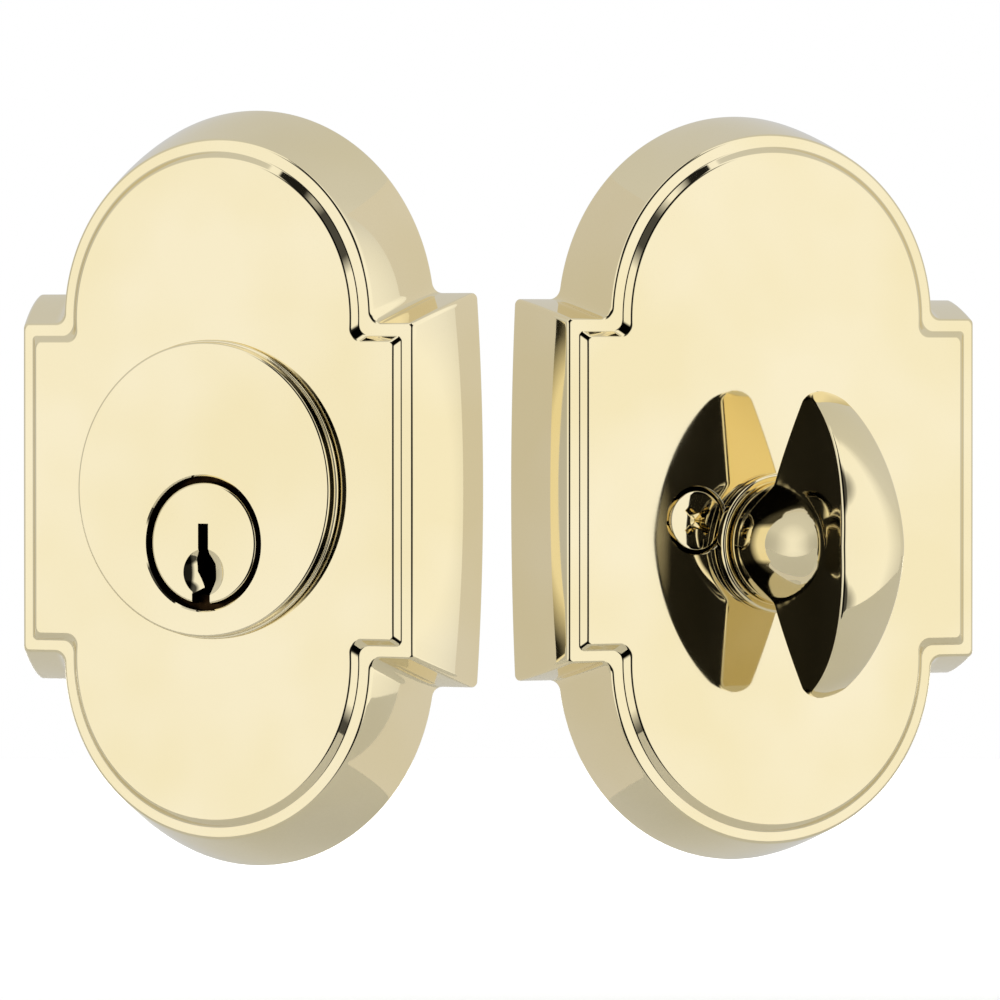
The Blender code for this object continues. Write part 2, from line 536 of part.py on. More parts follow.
def bolt_unit(unit):
    """The bolt, its case and the crank that the tailpiece turns, in the door's thickness."""
    axis_at = (0, -LOCK_AXIS_DROP, BOLT_MID)
    along = (0, pi / 2, 0)
    case_outer = EDGE_BORE_RADIUS - CASE_CLEARANCE
    case_inner = case_outer - CASE_WALL
    ring = [(EDGE_BORE_RADIUS, -BACKSET + FACE_RING_THICKNESS), (EDGE_BORE_RADIUS, -BACKSET),
            (case_inner, -BACKSET), (case_inner, -BACKSET + FACE_RING_THICKNESS)]
    turned("bolt_face_ring", ring, unit, BRASS, (0, 0, BOLT_MID), along, closed=True)
    tube = ring_profile(case_inner, case_outer, -BACKSET + FACE_RING_THICKNESS + GAP, TUBE_REAR)
    turned("bolt_case_tube", tube, unit, STEEL, (0, 0, BOLT_MID), along, closed=True)

    corner = BOLT_CORNER_RADIUS
    high = BOLT_HALF_HEIGHT - corner
    wide = BOLT_HALF_THICKNESS - corner
    outline = []
    for k, (x, y) in enumerate(((wide, high), (-wide, high), (-wide, -high), (wide, -high))):
        outline += arc((x, y), corner, k * pi / 2, (k + 1) * pi / 2, 4)
    prism("bolt", [(y, x) for x, y in reversed(outline)], -BACKSET - BOLT_FACE_PROUD, -BOLT_REAR,
          unit, BRASS, (0, 0, BOLT_MID), (pi / 2, 0, pi / 2))

    hub_top = CRANK_HUB_RADIUS - LOCK_AXIS_DROP
    leaf_low = hub_top + LEAF_LOW_SHARE * (SLOT_LOW - hub_top)
    leaf_high = SLOT_HIGH + LEAF_MARGIN
    arm_top = sqrt(case_inner ** 2 - LEAF_OUTER ** 2) - TAIL_ARM_CLEARANCE
    tail = box("bolt_tail", (-BOLT_REAR + GAP, leaf_low, BOLT_MID - LEAF_OUTER),
               (LEAF_RIGHT, leaf_high, BOLT_MID + LEAF_OUTER), unit, STEEL)
    fork_left = -BOLT_REAR + GAP + TAIL_ROOT_LENGTH
    cut(tail, box("tail_fork_cut", (fork_left, leaf_low - CUT_PAST, BOLT_MID - LEAF_INNER),
                  (LEAF_RIGHT + CUT_PAST, leaf_high + CUT_PAST, BOLT_MID + LEAF_INNER), unit, None))
    cut(tail, box("tail_slot_cut", (CRANK_PIN_X - SLOT_HALF_WIDTH, SLOT_LOW, BOLT_MID - 2 * LEAF_OUTER),
                  (CRANK_PIN_X + SLOT_HALF_WIDTH, SLOT_HIGH, BOLT_MID + 2 * LEAF_OUTER), unit, None))
    cut(tail, box("tail_shoulder_cut", (-BOLT_REAR, arm_top, BOLT_MID - 2 * LEAF_OUTER),
                  (SLOT_PLATE_LEFT, leaf_high + CUT_PAST, BOLT_MID + 2 * LEAF_OUTER), unit, None))

    half = CRANK_THICKNESS / 2
    crank = prism("crank", crank_outline(), -half, half, unit, STEEL, axis_at)
    journal = SIDE_PLATE_OUTER
    hub = [(0, journal), (JOURNAL_RADIUS, journal), (JOURNAL_RADIUS, CRANK_HUB_HALF_LENGTH),
           (CRANK_HUB_RADIUS - CRANK_HUB_STEP, CRANK_HUB_HALF_LENGTH),
           (CRANK_HUB_RADIUS - CRANK_HUB_STEP, -CRANK_HUB_HALF_LENGTH),
           (JOURNAL_RADIUS, -CRANK_HUB_HALF_LENGTH), (JOURNAL_RADIUS, -journal), (0, -journal)]
    combine(crank, turned("crank_hub", hub, unit, None, axis_at), "UNION")
    x = TAIL_WIDTH / 2 + TAIL_CLEARANCE
    y = TAIL_THICKNESS / 2 + TAIL_CLEARANCE
    cut(crank, prism("crank_slot_cut", rectangle(x, y), -journal - CUT_PAST, journal + CUT_PAST,
                     unit, None, axis_at))
    pin_at = (CRANK_PIN_X, CRANK_PIN_Y, BOLT_MID)
    hole = rod_profile(CRANK_PIN_RADIUS + GAP, -half - CUT_PAST, half + CUT_PAST)
    cut(crank, turned("crank_pin_hole", hole, unit, None, pin_at, segments=SMALL_SEGMENTS))
    turned("crank_pin", rod_profile(CRANK_PIN_RADIUS, -CRANK_PIN_HALF_LENGTH, CRANK_PIN_HALF_LENGTH),
           unit, HARD_STEEL, pin_at, segments=SMALL_SEGMENTS)

    left = TUBE_REAR + GAP
    right = CRANK_PIN_X + GAP
    low = -LOCK_AXIS_DROP - CRANK_HUB_RADIUS - 2 * RIVET_HEAD_RADIUS
    top = leaf_high + SIDE_PLATE_TOP_MARGIN
    outline = [(left, low), (right, low), (right, top), (left, top)]
    inset = RIVET_HEAD_RADIUS + RIVET_EDGE_MARGIN
    rivets = [(right - inset, low + inset), (left + inset, low + inset)]
    for label, inner, outer in (("outer", SIDE_PLATE_INNER, SIDE_PLATE_OUTER),
                                ("inner", -SIDE_PLATE_OUTER, -SIDE_PLATE_INNER)):
        plate = prism(f"case_plate_{label}", outline, BOLT_MID + inner, BOLT_MID + outer, unit, STEEL)
        hole = rod_profile(JOURNAL_RADIUS + RUNNING_GAP, inner - CUT_PAST, outer + CUT_PAST)
        cut(plate, turned(f"journal_hole_{label}", hole, unit, None, axis_at))
        for k, (px, py) in enumerate(rivets):
            hole = rod_profile(RIVET_RADIUS + GAP, inner - CUT_PAST, outer + CUT_PAST)
            cut(plate, turned(f"rivet_hole_{label}_{k + 1}", hole, unit, None, (px, py, BOLT_MID),
                              segments=SMALL_SEGMENTS))
    head = SIDE_PLATE_OUTER + GAP
    far = head + RIVET_HEAD_THICKNESS
    shape = [(0, far), (RIVET_HEAD_RADIUS, far), (RIVET_HEAD_RADIUS, head), (RIVET_RADIUS, head),
             (RIVET_RADIUS, -head), (RIVET_HEAD_RADIUS, -head), (RIVET_HEAD_RADIUS, -far), (0, -far)]
    for k, (px, py) in enumerate(rivets):
        turned(f"case_rivet_{k + 1}", shape, unit, STEEL, (px, py, BOLT_MID), segments=SMALL_SEGMENTS)


def wing_ring(y):
    """The thumb-turn wing's section at a height: a slab with a crowned outer face."""
    share = abs(y) / TURN_HALF_LENGTH
    half = (TURN_MIDDLE_THICKNESS + (TURN_TIP_THICKNESS - TURN_MIDDLE_THICKNESS) * share ** 1.4) / 2
    outer = TURN_OUTER_REACH - TURN_ARC_RADIUS + sqrt(TURN_ARC_RADIUS ** 2 - y ** 2)
    inner = TURN_INNER_ROOT + (TURN_TIP_INNER - TURN_INNER_ROOT) * share ** 1.3
    crown = min(TURN_CROWN, (outer - inner) / 4)
    return [(-half, y, inner), (half, y, inner), (half, y, outer - crown), (half / 2, y, outer - crown / 4),
            (0, y, outer), (-half / 2, y, outer - crown / 4), (-half, y, outer - crown)]


def thumb_turn(unit):
    """One casting: wing, stem, flange and shaft, with a blind slot behind for the tailpiece."""
    at = (0, -LOCK_AXIS_DROP, 0)
    heights = [TURN_HALF_LENGTH * sin(pi / 2 * k / 7) for k in range(-7, 8)]
    wing = loft("thumb_turn", [wing_ring(y) for y in heights], unit, BRASS, at)
    seat = FIELD_FACE + GAP
    flange_top = seat + TURN_FLANGE_HEIGHT
    groove_top = flange_top + TURN_GROOVE_HEIGHT
    groove = TURN_STEM_RADIUS - TURN_GROOVE_DEPTH
    ring_groove = TURN_SHAFT_RADIUS - RING_GROOVE_DEPTH
    ring_low = RING_TOP - RING_THICKNESS - 2 * GAP
    stem = [(0, TURN_CONE_REACH), (TURN_CONE_TIP_RADIUS, TURN_CONE_REACH),
            (TURN_STEM_RADIUS * TURN_CONE_SHARE, TURN_INNER_ROOT + TURN_CONE_SHOULDER),
            (TURN_STEM_RADIUS, TURN_INNER_ROOT + TURN_STEM_STRAIGHT),
            (TURN_STEM_RADIUS, groove_top), (groove, groove_top),
            (groove, flange_top), (TURN_FLANGE_RADIUS, flange_top), (TURN_FLANGE_RADIUS, seat),
            (TURN_SHAFT_RADIUS, seat), (TURN_SHAFT_RADIUS, RING_TOP + GAP), (ring_groove, RING_TOP + GAP),
            (ring_groove, ring_low), (TURN_SHAFT_RADIUS, ring_low), (TURN_SHAFT_RADIUS, TURN_SHAFT_REAR),
            (0, TURN_SHAFT_REAR)]
    combine(wing, turned("thumb_turn_stem", stem, unit, None, at), "UNION")
    x = TAIL_WIDTH / 2 + TAIL_CLEARANCE
    y = TAIL_THICKNESS / 2 + TAIL_CLEARANCE
    cut(wing, prism("socket_cut", rectangle(x, y), TURN_SHAFT_REAR - CUT_PAST,
                    TURN_SHAFT_REAR + SOCKET_DEPTH, unit, None, at))
    washer_top = FIELD_BACK - GAP
    washer = ring_profile(TURN_SHAFT_RADIUS + GAP, TURN_SHAFT_RADIUS + GAP + WASHER_WIDTH,
                          washer_top - WASHER_THICKNESS, washer_top)
    turned("turn_washer", washer, unit, STEEL, at, closed=True)
    ring_inner = ring_groove + GAP
    ring = ring_profile(ring_inner, ring_inner + RING_WIDTH, RING_TOP - RING_THICKNESS, RING_TOP)
    retainer = turned("retaining_ring", ring, unit, HARD_STEEL, at, closed=True)
    mouth = RING_MOUTH_HALF_WIDTH
    cut(retainer, box("ring_mouth_cut", (-mouth, -LOCK_AXIS_DROP - 2 * TURN_SHAFT_RADIUS, 0),
                      (mouth, -LOCK_AXIS_DROP, RING_TOP + CUT_PAST), unit, None))


def through_bolt(name, unit, x):
    """A countersunk machine screw with a cross recess turned an eighth of a turn."""
    at = (x, -BOLT_DROP, 0)
    top = FIELD_FACE - SCREW_SINK
    edge, edge_height = SCREW_HEAD_EDGE
    tip = SCREW_TIP_CHAMFER
    profile = [(0, top), (SCREW_HEAD_RADIUS - edge, top), (SCREW_HEAD_RADIUS, top - edge_height)]
    profile += [(SCREW_RADIUS, top - SCREW_HEAD_HEIGHT), (SCREW_RADIUS, -SCREW_REACH + tip)]
    profile += [(SCREW_RADIUS - tip, -SCREW_REACH), (0, -SCREW_REACH)]
    screw = turned(name, profile, unit, BRASS, at, segments=SCREW_SEGMENTS)
    long = RECESS_ARM_HALF_LENGTH
    wide = RECESS_ARM_HALF_WIDTH
    for k in range(2):
        arm = prism(f"{name}_recess_{k + 1}", rectangle(long, wide), top - RECESS_DEPTH, top + CUT_PAST,
                    unit, None, at, (0, 0, pi / 4 + k * pi / 2))
        cut(screw, arm)


def inside_trim(unit):
    plate = escutcheon("inside_escutcheon", unit, INSIDE_PLATE_GROWTH, INSIDE_PLATE_FLARE)
    hole = rod_profile(TURN_SHAFT_RADIUS + RUNNING_GAP, 0, FIELD_FACE + CUT_PAST)
    cut(plate, turned("turn_hole_cut", hole, unit, None, (0, -LOCK_AXIS_DROP, 0)))
    for side, label in ((-1, "left"), (1, "right")):
        x = side * BOLT_SPACING_HALF
        clear = SCREW_RADIUS + GAP
        rim = SCREW_HEAD_RADIUS + COUNTERSINK_MARGIN
        seat = FIELD_FACE - COUNTERSINK_RIM_DEPTH
        foot = seat - SCREW_HEAD_HEIGHT + COUNTERSINK_RELIEF
        sink = [(0, FIELD_FACE + CUT_PAST), (rim, FIELD_FACE + CUT_PAST), (rim, seat), (clear, foot),
                (clear, 0), (0, 0)]
        cut(plate, turned(f"screw_hole_{label}", sink, unit, None, (x, -BOLT_DROP, 0),
                          segments=SCREW_SEGMENTS))
        through_bolt(f"through_bolt_{label}", unit, x)
    ring = ring_profile(INSIDE_ADAPTER_HOLE, CROSS_BORE_RADIUS - ADAPTER_EDGE_CLEARANCE,
                        -GAP - ADAPTER_THICKNESS, -GAP)
    turned("inside_bore_ring", ring, unit, STEEL, closed=True)


clear_scene()
PARTS = new_collection("deadbolt_door_lock")
CUTTERS = new_collection("cutters")
outside = bpy.data.objects.new("outside_unit", None)
outside.rotation_euler = (pi / 2, 0, 0)
inside = bpy.data.objects.new("inside_unit", None)
inside.rotation_euler = (pi / 2, 0, INSIDE_YAW)
normal = (sin(INSIDE_YAW), -cos(INSIDE_YAW))
inside.location = (TRIM_SPACING * cos(SPACING_DIRECTION) - normal[0] * PLATE_DEPTH,
                   -PLATE_DEPTH + TRIM_SPACING * sin(SPACING_DIRECTION) - normal[1] * PLATE_DEPTH, 0)
for empty in (outside, inside):
    PARTS.objects.link(empty)
outside_trim(outside)
cylinder(outside)
plug_and_pins(outside)
bolt_unit(outside)
inside_trim(inside)
thumb_turn(inside)
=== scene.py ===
import json

import bpy
import numpy as np
from bpy.props import FloatProperty, PointerProperty, StringProperty
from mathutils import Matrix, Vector


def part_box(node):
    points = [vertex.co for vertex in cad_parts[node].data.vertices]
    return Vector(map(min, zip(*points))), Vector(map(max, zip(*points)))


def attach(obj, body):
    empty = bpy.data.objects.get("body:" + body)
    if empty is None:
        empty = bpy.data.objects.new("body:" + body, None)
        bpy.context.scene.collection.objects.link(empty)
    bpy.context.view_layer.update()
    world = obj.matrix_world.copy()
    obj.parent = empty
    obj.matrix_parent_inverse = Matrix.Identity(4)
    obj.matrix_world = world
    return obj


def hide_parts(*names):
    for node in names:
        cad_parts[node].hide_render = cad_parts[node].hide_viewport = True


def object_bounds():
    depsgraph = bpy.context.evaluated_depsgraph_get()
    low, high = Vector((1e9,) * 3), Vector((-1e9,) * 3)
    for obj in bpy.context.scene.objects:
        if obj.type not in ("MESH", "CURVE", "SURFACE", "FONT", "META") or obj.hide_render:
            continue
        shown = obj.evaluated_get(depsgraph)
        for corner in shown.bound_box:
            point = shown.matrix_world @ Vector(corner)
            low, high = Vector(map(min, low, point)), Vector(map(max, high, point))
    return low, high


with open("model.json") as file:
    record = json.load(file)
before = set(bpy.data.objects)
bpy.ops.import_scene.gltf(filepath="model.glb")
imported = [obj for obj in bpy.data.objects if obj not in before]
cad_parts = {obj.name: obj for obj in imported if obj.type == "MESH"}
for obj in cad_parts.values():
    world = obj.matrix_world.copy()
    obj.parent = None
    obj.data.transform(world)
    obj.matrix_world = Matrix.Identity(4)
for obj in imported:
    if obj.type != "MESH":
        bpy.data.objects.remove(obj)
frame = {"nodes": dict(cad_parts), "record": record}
CAD_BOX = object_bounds()

bl_info = {
    "name": "Brass Deadbolt",
    "version": (1, 0, 0),
    "blender": (4, 5, 0),
    "location": "3D View > Sidebar > Deadbolt",
    "description": "Builds the polished surfaces and finishes of a brass deadbolt around its mechanism",
    "category": "Add Mesh",
}

MM = 0.001
UP = np.array([0.0, 0.0, 1.0])
MOUNTS = {mount["name"]: mount for mount in frame["record"]["mounts"]}
PINS = range(1, 6)
HANDS = ((-1, "left"), (1, "right"))
FIT = 0.3 * MM  # Clearance between a shaft and its hole, and under a seated flange.
CUT_PAST = 5 * MM  # How far a cutting shape runs past the face that it cuts.
CHAMBER_RADIUS = 1.7 * MM
QUARTER = np.pi / 2


# ---------------------------------------------------------------- settings

def length(name, description, default):
    """A size in metres."""
    return FloatProperty(name=name, description=description, default=default, unit="LENGTH", precision=5)


def share_of(name, description, default):
    """A share of another size."""
    return FloatProperty(name=name, description=description, default=default, subtype="FACTOR")


def bearing(name, description, degrees):
    """An angle, whose default is given in degrees and kept in radians."""
    return FloatProperty(name=name, description=description, default=np.radians(degrees), unit="ROTATION")


def colour(name, description, default):
    """An sRGB hex value."""
    return StringProperty(name=name, description=description, default=default)


class PlateSettings(bpy.types.PropertyGroup):
    """Sizes of the two cast trim plates."""
    half_width: length("Half width", "From the centre to the front edge of a shoulder", 28.9 * MM)
    half_height: length("Half height", "From the centre to the front edge of an arch", 44.4 * MM)
    shoulder: length("Shoulder", "From the centre up to the shoulder's front edge", 21.0 * MM)
    arch_radius: length("Arch radius", "Radius of the arch's front edge", 22.7 * MM)
    depth: length("Depth", "From the door's face to the flat border", 10.0 * MM)
    flare: length("Flare", "How far the flank spreads towards the door", 4.0 * MM)
    flank_curve: FloatProperty(name="Flank curve", description="Exponent of the flank's flare", default=1.2)
    wall: length("Wall", "Thickness of the casting", 2.5 * MM)
    land: length("Border", "Width of the flat border", 1.5 * MM)
    riser: length("Riser", "Width of the slope up to the field", 0.8 * MM)
    field_rise: length("Field rise", "Height of the raised field over the border", 0.9 * MM)
    corner: length("Corner radius", "Rounding of the shoulders' corners", 0.6 * MM)
    fillet: length("Fillet", "Rounding where an arch meets a shoulder", 1.6 * MM)
    bow: share_of("Bow", "How far a flank swells at mid height, as a share of its flare", 0.22)
    inside_growth: length("Inside growth", "How much larger the inside outline is all round", 0.6 * MM)
    inside_flare: length("Inside flare", "Flare of the inside plate's flank", 2.6 * MM)


class CylinderSettings(bpy.types.PropertyGroup):
    """Sizes of the collar, housing and plug."""
    collar_proud: length("Collar height", "How far the collar stands over the field", 2.3 * MM)
    collar_radius: length("Collar radius", "Radius of the collar's face", 18.7 * MM)
    base_radius: length("Base radius", "Radius of the step at the collar's foot", 19.0 * MM)
    base_height: length("Base height", "Height of that step", 0.5 * MM)
    neck_radius: length("Neck radius", "Radius that passes through the plate", 17.2 * MM)
    body_radius: length("Body radius", "Radius of the housing behind the plate", 16.0 * MM)
    body_depth: length("Body depth", "How far the housing reaches behind the door's face", 9.5 * MM)
    axis_drop: length("Axis drop", "How far the plug sits below the collar's centre", 6.8 * MM)
    plug_radius: length("Plug radius", "Radius of the plug behind its face", 6.35 * MM)
    face_radius: length("Plug face radius", "Radius of the plug's visible face", 7.8 * MM)
    face_thickness: length("Plug face thickness", "Depth of the plug's wide front", 1.8 * MM)
    face_recess: length("Plug recess", "How far the plug's face lies below the collar's", 0.2 * MM)
    face_clearance: length("Plug clearance", "Gap round the plug's face", 0.75 * MM)
    plug_rear: length("Plug rear", "How far the plug reaches behind the door's face", 10.8 * MM)
    dimple_radius: length("Dimple radius", "Radius of the scooped key guide", 3.1 * MM)
    dimple_depth: length("Dimple depth", "Depth of the scooped key guide", 0.9 * MM)
    dimple_drop: length("Dimple drop", "How far the scoop sits below the plug's centre", 3.7 * MM)


class TurnSettings(bpy.types.PropertyGroup):
    """Sizes of the thumb-turn, from the axis and the door's face."""
    half_length: length("Half length", "From the axis to a tip of the wing", 19.3 * MM)
    reach: length("Reach", "Highest point of the wing over the door's face", 35.8 * MM)
    arc_radius: length("Arc radius", "Radius of the wing's outer edge in side view", 20.5 * MM)
    root: length("Root", "Height of the wing's underside at the stem", 14.6 * MM)
    tip_root: length("Tip root", "Height of the wing's underside at a tip", 21.7 * MM)
    middle: length("Middle thickness", "Thickness of the wing at the axis", 9.0 * MM)
    tip: length("Tip thickness", "Thickness of the wing at a tip", 4.2 * MM)
    crown: length("Crown", "Doming of the wing's outer face", 0.35 * MM)
    stem_radius: length("Stem radius", "Radius of the stem under the wing", 7.95 * MM)
    flange_radius: length("Flange radius", "Radius of the flange on the plate", 8.9 * MM)
    flange_height: length("Flange height", "Height of that flange", 1.4 * MM)
    cone_reach: length("Cone reach", "Height where the stem's swelling dies into the wing", 31.0 * MM)
    scoop: share_of("Scoop", "Hollow of the wing's flanks, as a share of the half thickness", 0.28)
    blend: length("Blend", "Softness of the join between stem and wing", 2.2 * MM)
    shaft_radius: length("Shaft radius", "Radius of the shaft through the plate", 6.0 * MM)
    shaft_rear: length("Shaft rear", "Height of the shaft's rear end", 4.0 * MM)


class ScrewSettings(bpy.types.PropertyGroup):
    """Sizes of the two through-bolts."""
    spacing: length("Half spacing", "From the plate's centre line to a bolt", 11.6 * MM)
    drop: length("Drop", "How far the bolts sit below the plate's centre", 3.85 * MM)
    head_radius: length("Head radius", "Radius of the countersunk head", 3.85 * MM)
    head_height: length("Head height", "Height of the countersunk head", 2.0 * MM)
    shank_radius: length("Shank radius", "Outer radius of the thread", 2.0 * MM)
    reach: length("Reach", "How far the bolt reaches behind the door's face", 30.0 * MM)
    pitch: length("Pitch", "Distance between threads, 32 to the inch", 0.794 * MM)


class FinishSettings(bpy.types.PropertyGroup):
    """Colours of the metals, as sRGB hex values."""
    brass_light: colour("Brass, light", "Polished brass, palest", "#F6EAC6")
    brass_deep: colour("Brass, deep", "Polished brass, deepest", "#F2E4B8")
    machined_light: colour("Machined brass, light", "Turned brass, fresh", "#D9BC78")
    machined_deep: colour("Machined brass, deep", "Turned brass, tarnished", "#C8A65C")
    # The next two colours are painted shade: near black brass that stands in for the shade inside the bores
    # and keyway.
    bore_shade_light: colour("Brass with painted bore shade, light", "Paler patches of the painted bore shade", "#3E2C18")
    bore_shade_deep: colour("Brass with painted bore shade, deep", "Darker patches of the painted bore shade", "#2A1C0E")
    zinc_light: colour("Zinc, light", "Bright zinc plate on steel", "#C3C8CC")
    zinc_deep: colour("Zinc, deep", "The same where the plate is thin", "#AEB2B4")
    black_oxide: colour("Blackened steel", "Oiled black steel", "#3C3A38")
    brown_oxide: colour("Browned steel", "The same where the black is worn", "#4D443B")
    nickel_light: colour("Nickel silver, light", "Turned nickel silver", "#D3CCBC")
    nickel_deep: colour("Nickel silver, deep", "The same in the tool marks", "#BDB6A6")
    bronze_light: colour("Phosphor bronze, light", "Drawn spring wire", "#B8834E")
    bronze_deep: colour("Phosphor bronze, deep", "The same in the die marks", "#9C6A3C")
    paper: colour("Paper", "Matt white paper", "#F7F7F5")
    paper_fibre: colour("Paper fibre", "The same, on its fibres", "#FBFBFA")


class LightSettings(bpy.types.PropertyGroup):
    """Where the camera stands, and how bright the lamps and cards are."""
    azimuth: bearing("Azimuth", "How far right of the outside plate's front the camera stands", 29.7)
    tilt: bearing("Tilt", "How far over the horizon the camera stands", 0.96)
    distance: length("Distance", "From the camera to its aim", 1.1386)
    field: length("Field", "Width of the view at that distance", 128 * MM)
    aim_side: length("Aim sideways", "How far right of the outside unit the camera looks", 31.2 * MM)
    aim_up: length("Aim upwards", "How far over the plate's centre the camera looks", -1.5 * MM)
    floor_drop: length("Floor drop", "From the lock's lowest point to the paper", 60 * MM)
    soft_box: FloatProperty(name="Soft box", description="Power of each lamp", default=5, unit="POWER")


# ---------------------------------------------------------------- places

class Place:
    """A right-handed set of axes: x to the right, y up and z out of the door's face."""

    def __init__(self, origin, right, up, out):
        self.origin = np.array(origin, float)
        self.axes = np.array([right, up, out], float)

    def world(self, points):
        return self.origin + np.asarray(points, float) @ self.axes

    def moved(self, x=0.0, y=0.0, z=0.0):
        return Place(self.world((x, y, z)), *self.axes)

    def along_up(self):
        """The same place with z upwards, x to the right and y into the door."""
        right, up, out = self.axes
        return Place(self.origin, right, -out, up)

    def spun(self, lean):
        """The same place turned by lean about z."""
        right, up, out = self.axes
        return Place(self.origin, np.cos(lean) * right + np.sin(lean) * up,
                     np.cos(lean) * up - np.sin(lean) * right, out)

    def along_left(self):
        """The same place with z to the left, x up and y out of the door's face turned round."""
        right, up, out = self.axes
        return Place(self.origin, up, -out, -right)


def unit_place(mount, reach):
    """The axes of the unit whose rim mount lies reach to the right of its centre."""
    out = -np.array(mount["axis"], float)
    out /= np.linalg.norm(out)
    right = np.cross(UP, out)
    return Place(np.array(mount["pos_m"]) - reach * right, right, UP, out)


RIM_REACH = MOUNTS["outside_plate_rim"]["pos_m"][0]
OUTSIDE = unit_place(MOUNTS["outside_plate_rim"], RIM_REACH)


def stack_place(node):
    """The corners of a node's box, and a place on its middle with z upwards."""
    low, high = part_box(node)
    return low, high, Place(((low[0] + high[0]) / 2, (low[1] + high[1]) / 2, 0), *OUTSIDE.axes).along_up()


def inside_place(plate):
    """The inside unit's axes, found from its rim as the outside unit's are."""
    step = plate.inside_growth + plate.inside_flare - plate.flare
    return unit_place(MOUNTS["inside_plate_rim"], RIM_REACH + step)


# ---------------------------------------------------------------- surfaces

def piece_from(name, points, faces):
    """An object at the origin, with a mesh of the points and faces in world coordinates."""
    mesh = bpy.data.meshes.new(name)
    mesh.from_pydata(points.tolist(), [], faces)
    mesh.validate()
    piece = bpy.data.objects.new(name, mesh)
    bpy.context.scene.collection.objects.link(piece)
    return piece


def sheet_faces(rows, columns, wrap_rows=False):
    """Quads of a grid that closes on itself along its columns, and along its rows if asked."""
    last = rows if wrap_rows else rows - 1
    r = np.arange(last)[:, None]
    c = np.arange(columns)[None, :]
    near, far = r * columns, ((r + 1) % rows) * columns
    right = (c + 1) % columns
    return np.stack([near + c, near + right, far + right, far + c], -1).reshape(-1, 4).tolist()


def loft(name, rings, place):
    """Rings of points, anticlockwise seen from the last one, skinned in order and capped at both ends."""
    rows, columns, _ = rings.shape
    faces = sheet_faces(rows, columns)
    faces.append(list(range(columns))[::-1])
    faces.append([(rows - 1) * columns + i for i in range(columns)])
    return piece_from(name, place.world(rings.reshape(-1, 3)), faces)


def rounded(corners, radii, steps=6):
    """A polyline whose corners are swapped for arcs: each arc touches both sides at radius * tan(half
    the turn)."""
    corners = np.array(corners, float)
    out = [corners[0]]
    for before, here, after, radius in zip(corners, corners[1:], corners[2:], radii):
        a, b = before - here, after - here
        a /= np.linalg.norm(a)
        b /= np.linalg.norm(b)
        half = np.arccos(np.clip(a @ b, -1, 1)) / 2
        if radius <= 0 or half > np.pi / 2 - 0.01:
            out.append(here)
            continue
        centre = here + (a + b) / np.linalg.norm(a + b) * radius / np.sin(half)
        start, end = here + a * radius / np.tan(half) - centre, here + b * radius / np.tan(half) - centre
        turn = np.arctan2(start[0] * end[1] - start[1] * end[0], start @ end)
        angle = np.linspace(0, turn, steps + 1)[:, None]
        side = np.array([-start[1], start[0]])
        out.extend(centre + start * np.cos(angle) + side * np.sin(angle))
    out.append(corners[-1])
    return np.array(out)


def turned(name, profile, place, segments=96):
    """A profile of (radius, height), top to bottom, turned about z; a closed one makes a ring."""
    profile = np.asarray(profile, float)
    ring = np.allclose(profile[0], profile[-1])
    if ring:
        profile = profile[:-1]
    on_axis = profile[:, 0] < 1e-7
    body = profile if ring else profile[~on_axis]
    angle = np.linspace(0, 2 * np.pi, segments, endpoint=False)
    grid = np.stack([body[:, :1] * np.cos(angle), body[:, :1] * np.sin(angle),
                     np.repeat(body[:, 1:], segments, 1)], -1)
    rows = len(body)
    faces = [face[::-1] for face in sheet_faces(rows, segments, wrap_rows=ring)]
    if not ring:
        faces.append(list(range(segments)))
        faces.append([(rows - 1) * segments + i for i in range(segments)][::-1])
    return piece_from(name, place.world(grid.reshape(-1, 3)), faces)


def drill(name, steps, place, segments=96):
    """A stepped hole: (radius, height) steps from the top down, closed onto the axis at both ends."""
    return turned(name, [(0, steps[0][1]), *steps, (0, steps[-1][1])], place, segments)


def slab(name, outline, low, high, place, taper=1.0):
    """An outline of (x, y) points raised from low, where it is scaled by taper, to high."""
    outline = np.array(outline, float)
    bottom = np.column_stack([outline * taper, np.full(len(outline), low)])
    top = np.column_stack([outline, np.full(len(outline), high)])
    return loft(name, np.stack([bottom, top]), place)


def rectangle(half_x, half_y):
    """The four corners, anticlockwise, of a rectangle about its centre."""
    return [(-half_x, -half_y), (half_x, -half_y), (half_x, half_y), (-half_x, half_y)]


def combine(piece, others, operation="DIFFERENCE"):
    """Cut other shapes out of a piece, or join them to it, and keep only the result."""
    for other in others:
        modifier = piece.modifiers.new(other.name, "BOOLEAN")
        modifier.operation = operation
        modifier.solver = "EXACT"
        modifier.object = other
    graph = bpy.context.evaluated_depsgraph_get()
    result = bpy.data.meshes.new_from_object(piece.evaluated_get(graph))
    piece.modifiers.clear()
    piece.data = result
    for other in others:
        bpy.data.objects.remove(other)
    return piece


def place_piece(piece, material, body, nodes, sharp=32.0):
    """Shade a finished piece, give it its metal, and let it stand for its nodes on their body."""
    piece.data.shade_smooth()
    piece.data.set_sharp_from_angle(angle=np.radians(sharp))
    even = piece.modifiers.new("even shading", "WEIGHTED_NORMAL")
    even.keep_sharp = True
    even.weight = 100
    piece.data.materials.clear()
    piece.data.materials.append(material)
    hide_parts(*nodes)
    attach(piece, body)
    return piece


